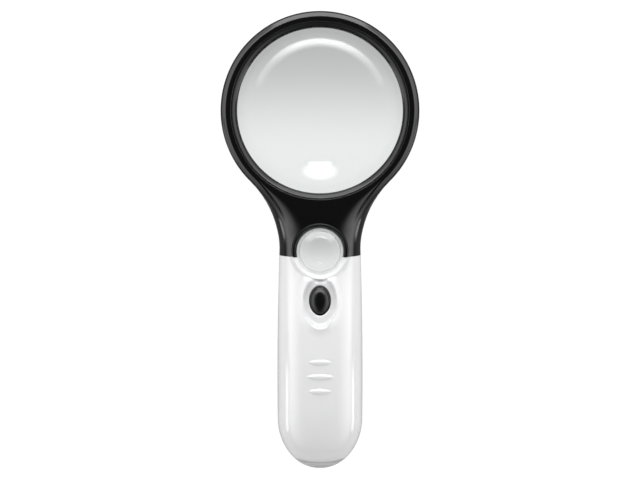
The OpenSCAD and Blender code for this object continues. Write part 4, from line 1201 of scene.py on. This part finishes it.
def make_table(stage):
    """White table that the camera sees evenly lit; seen through the lenses it has a painted bright spot and
    painted shade, darker at the ends behind the lenses.
    """
    material, tree = new_tree("table_white")
    camera, glossy, through, bounced = rays(tree, "Camera", "Glossy", "Transmission", "Diffuse")
    shade = blend_colour(tree, bounced, grey(0.85), grey(0.6))
    shade = blend_colour(tree, glossy, shade, grey(0.2))
    pale = add(tree, "ShaderNodeBsdfDiffuse", {"Color": shade})
    where = position(tree)
    y, x = along(tree, where, "Y"), along(tree, where, "X")
    # Painted shade on the table as the lenses show it: darker past the main lens's middle and in a band under
    # the small lens.
    painted_shade_under_loupe = y.step(-0.0085, -0.0025) - y.step(-0.0005, 0.003)
    lit = 1.0 - y.step(0.038, 0.082) * 0.42 - painted_shade_under_loupe * 0.4
    # Painted bright spot on the table under the lower half of the main lens.
    painted_spot = (y - 0.0305) * (y - 0.0305) * 4.0 + x * x
    lit = lit + (1 - painted_spot.step(0.00001, 0.00007)) * 0.35
    glow = glowing(tree, lit * through + (1 - through) * stage.table)
    share = (camera * 0.84).most(glossy * 0.1).most(through * 0.85)
    output(tree, blend_shader(tree, share, pale, glow))
    reach = 6.0
    corners = [(-reach, -reach, 0), (reach, -reach, 0), (reach, reach, 0), (-reach, reach, 0)]
    stage_mesh("table", corners, [(0, 1, 2, 3)], material)


def make_lights(stage):
    """Lamp past the head, and sheets that the lenses and the glossy faces mirror."""
    arch_reach = 76

    def arch_place(u, v):
        return mirrored_place(math.radians(arch_reach) * u, 27.2 + 2.4 * v, stage.camera_height)

    def arch_fade(u, v):
        turn = arch_reach * abs(u)
        tail = (1 - 0.8 * smooth((turn - 12) / 48)) * smooth((arch_reach - turn) / 14)
        return tail * smooth((1 + v) / 1.4) * smooth((1 - v) / 0.52)

    sheet_light("arch_light", (61, 15), arch_place, arch_fade, stage.arch)

    width, height = 1.1, 0.5
    data = bpy.data.lights.new("key_light", "AREA")
    data.shape, data.size, data.size_y = "RECTANGLE", width, height
    data.energy = stage.key * math.pi * width * height
    key = placed("key_light", data)
    key.location = (0, 1.05, 0.42)
    key.rotation_mode = "QUATERNION"
    key.rotation_quaternion = (-key.location).to_track_quat("-Z", "Y")
    key.visible_camera = False
    key.visible_transmission = False

    def lens_place(u, v):
        return 0.15 * u, 0.595 + 0.036 * v, 0.7 - 0.031 * v

    def lens_fade(u, v):
        return smooth((1 - abs(u)) / 0.5) * smooth((1 - abs(v)) / 0.7)

    def side_fade(u, v):
        return smooth((1 - abs(u)) / 0.25) * smooth((1 - v) / 0.9)

    sheet_light("lens_light", (21, 13), lens_place, lens_fade, stage.lens, True)
    for s, side in ((-1, "left"), (1, "right")):

        def side_place(u, v):
            return 1.2 * s, -0.35 + 0.33 * u, 0.21 + 0.21 * v

        sheet_light(f"side_light_{side}", (21, 13), side_place, side_fade, stage.sides)


def make_room(scene, stage):
    """Pale room: bright at the sides and past the head, dim overhead, with a band that only gloss shows."""
    world = bpy.data.worlds.new("pale_room")
    world.use_nodes = True
    tree = world.node_tree
    tree.nodes.clear()
    where = position(tree, "Generated")
    across, ahead, up = (along(tree, where, axis) for axis in "XYZ")
    glossy, camera, through = rays(tree, "Glossy", "Camera", "Transmission")
    seen = camera.most(through)
    beside = across * across
    horizon = up.step(0.0, 0.2)
    above = horizon * (1 - glossy) + up.step(0.1, 0.36) * glossy
    walls = beside * (1 - up.step(0.7, 0.96)) * above * stage.room
    ends = ahead.most(0.0) * stage.front + (0 - ahead).most(0.0) * (1 - glossy) * stage.back
    sheen = beside * up.step(0.25, 0.5) * (1 - up.step(0.8, 0.98)) * glossy * 0.9
    band = (up.step(0.62, 0.67) - up.step(0.8, 0.88)) * ahead.step(0.3, 0.55) * (1 - beside.step(0.2, 0.42))
    overhead = (1 - up.step(0.72, 0.92)) * up.step(0.2, 0.5) * stage.ceiling + 0.03
    glow = walls + horizon * (1 - up.step(0.45, 0.9)) * ends + sheen + band * glossy * 5.0 + overhead
    level = glow * (1 - seen) + seen * stage.table
    back = add(tree, "ShaderNodeBackground", {"Color": grey(1.0), "Strength": level})
    add(tree, "ShaderNodeOutputWorld", {"Surface": back})
    scene.world = world


class MAGNIFIER_OT_stage(Operator):
    """Make the table, the lights, the room and the camera"""

    bl_idname = "magnifier.stage"
    bl_label = "Stage"

    def execute(self, context):
        scene = context.scene
        stage = scene.magnifier_stage
        make_table(stage)
        make_lights(stage)
        make_room(scene, stage)
        sensor, focus_z = 36.0, 0.008
        data = bpy.data.cameras.new("photo_camera")
        data.sensor_width = sensor
        data.lens = sensor * (stage.camera_height - focus_z) / stage.frame_width
        data.clip_end = 20.0
        scene.camera = placed("photo_camera", data)
        scene.camera.location = (0, 0, stage.camera_height)
        scene.view_settings.view_transform = "Standard"
        return {"FINISHED"}


class MAGNIFIER_PT_panel(Panel):
    """Lists the pieces of the magnifier and their sizes and finishes"""

    bl_idname = "MAGNIFIER_PT_panel"
    bl_label = "Hand magnifier"
    bl_space_type = "VIEW_3D"
    bl_region_type = "UI"
    bl_category = "Magnifier"

    def draw(self, context):
        for step in STEPS:
            self.layout.operator(step.bl_idname)
        for name in GROUPS:
            group = getattr(context.scene, name)
            box = self.layout.box()
            for key in group.__annotations__:
                box.prop(group, key)


GROUPS = {
    "magnifier_sizes": MagnifierSizes,
    "magnifier_finishes": MagnifierFinishes,
    "magnifier_stage": MagnifierStage,
}
STEPS = (
    MAGNIFIER_OT_lenses,
    MAGNIFIER_OT_rings,
    MAGNIFIER_OT_head,
    MAGNIFIER_OT_handle,
    MAGNIFIER_OT_cover,
    MAGNIFIER_OT_button,
    MAGNIFIER_OT_springs,
    MAGNIFIER_OT_screws,
    MAGNIFIER_OT_cells,
    MAGNIFIER_OT_inner,
    MAGNIFIER_OT_stage,
)
CLASSES = (*GROUPS.values(), *STEPS, MAGNIFIER_PT_panel)


def register():
    for cls in CLASSES:
        bpy.utils.register_class(cls)
    for name, group in GROUPS.items():
        setattr(bpy.types.Scene, name, PointerProperty(type=group))


def unregister():
    for name in GROUPS:
        delattr(bpy.types.Scene, name)
    for cls in reversed(CLASSES):
        bpy.utils.unregister_class(cls)


def main():
    register()
    for step in STEPS:
        getattr(bpy.ops.magnifier, step.bl_idname.split(".")[1])()
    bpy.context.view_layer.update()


if __name__ == "__main__":
    main()
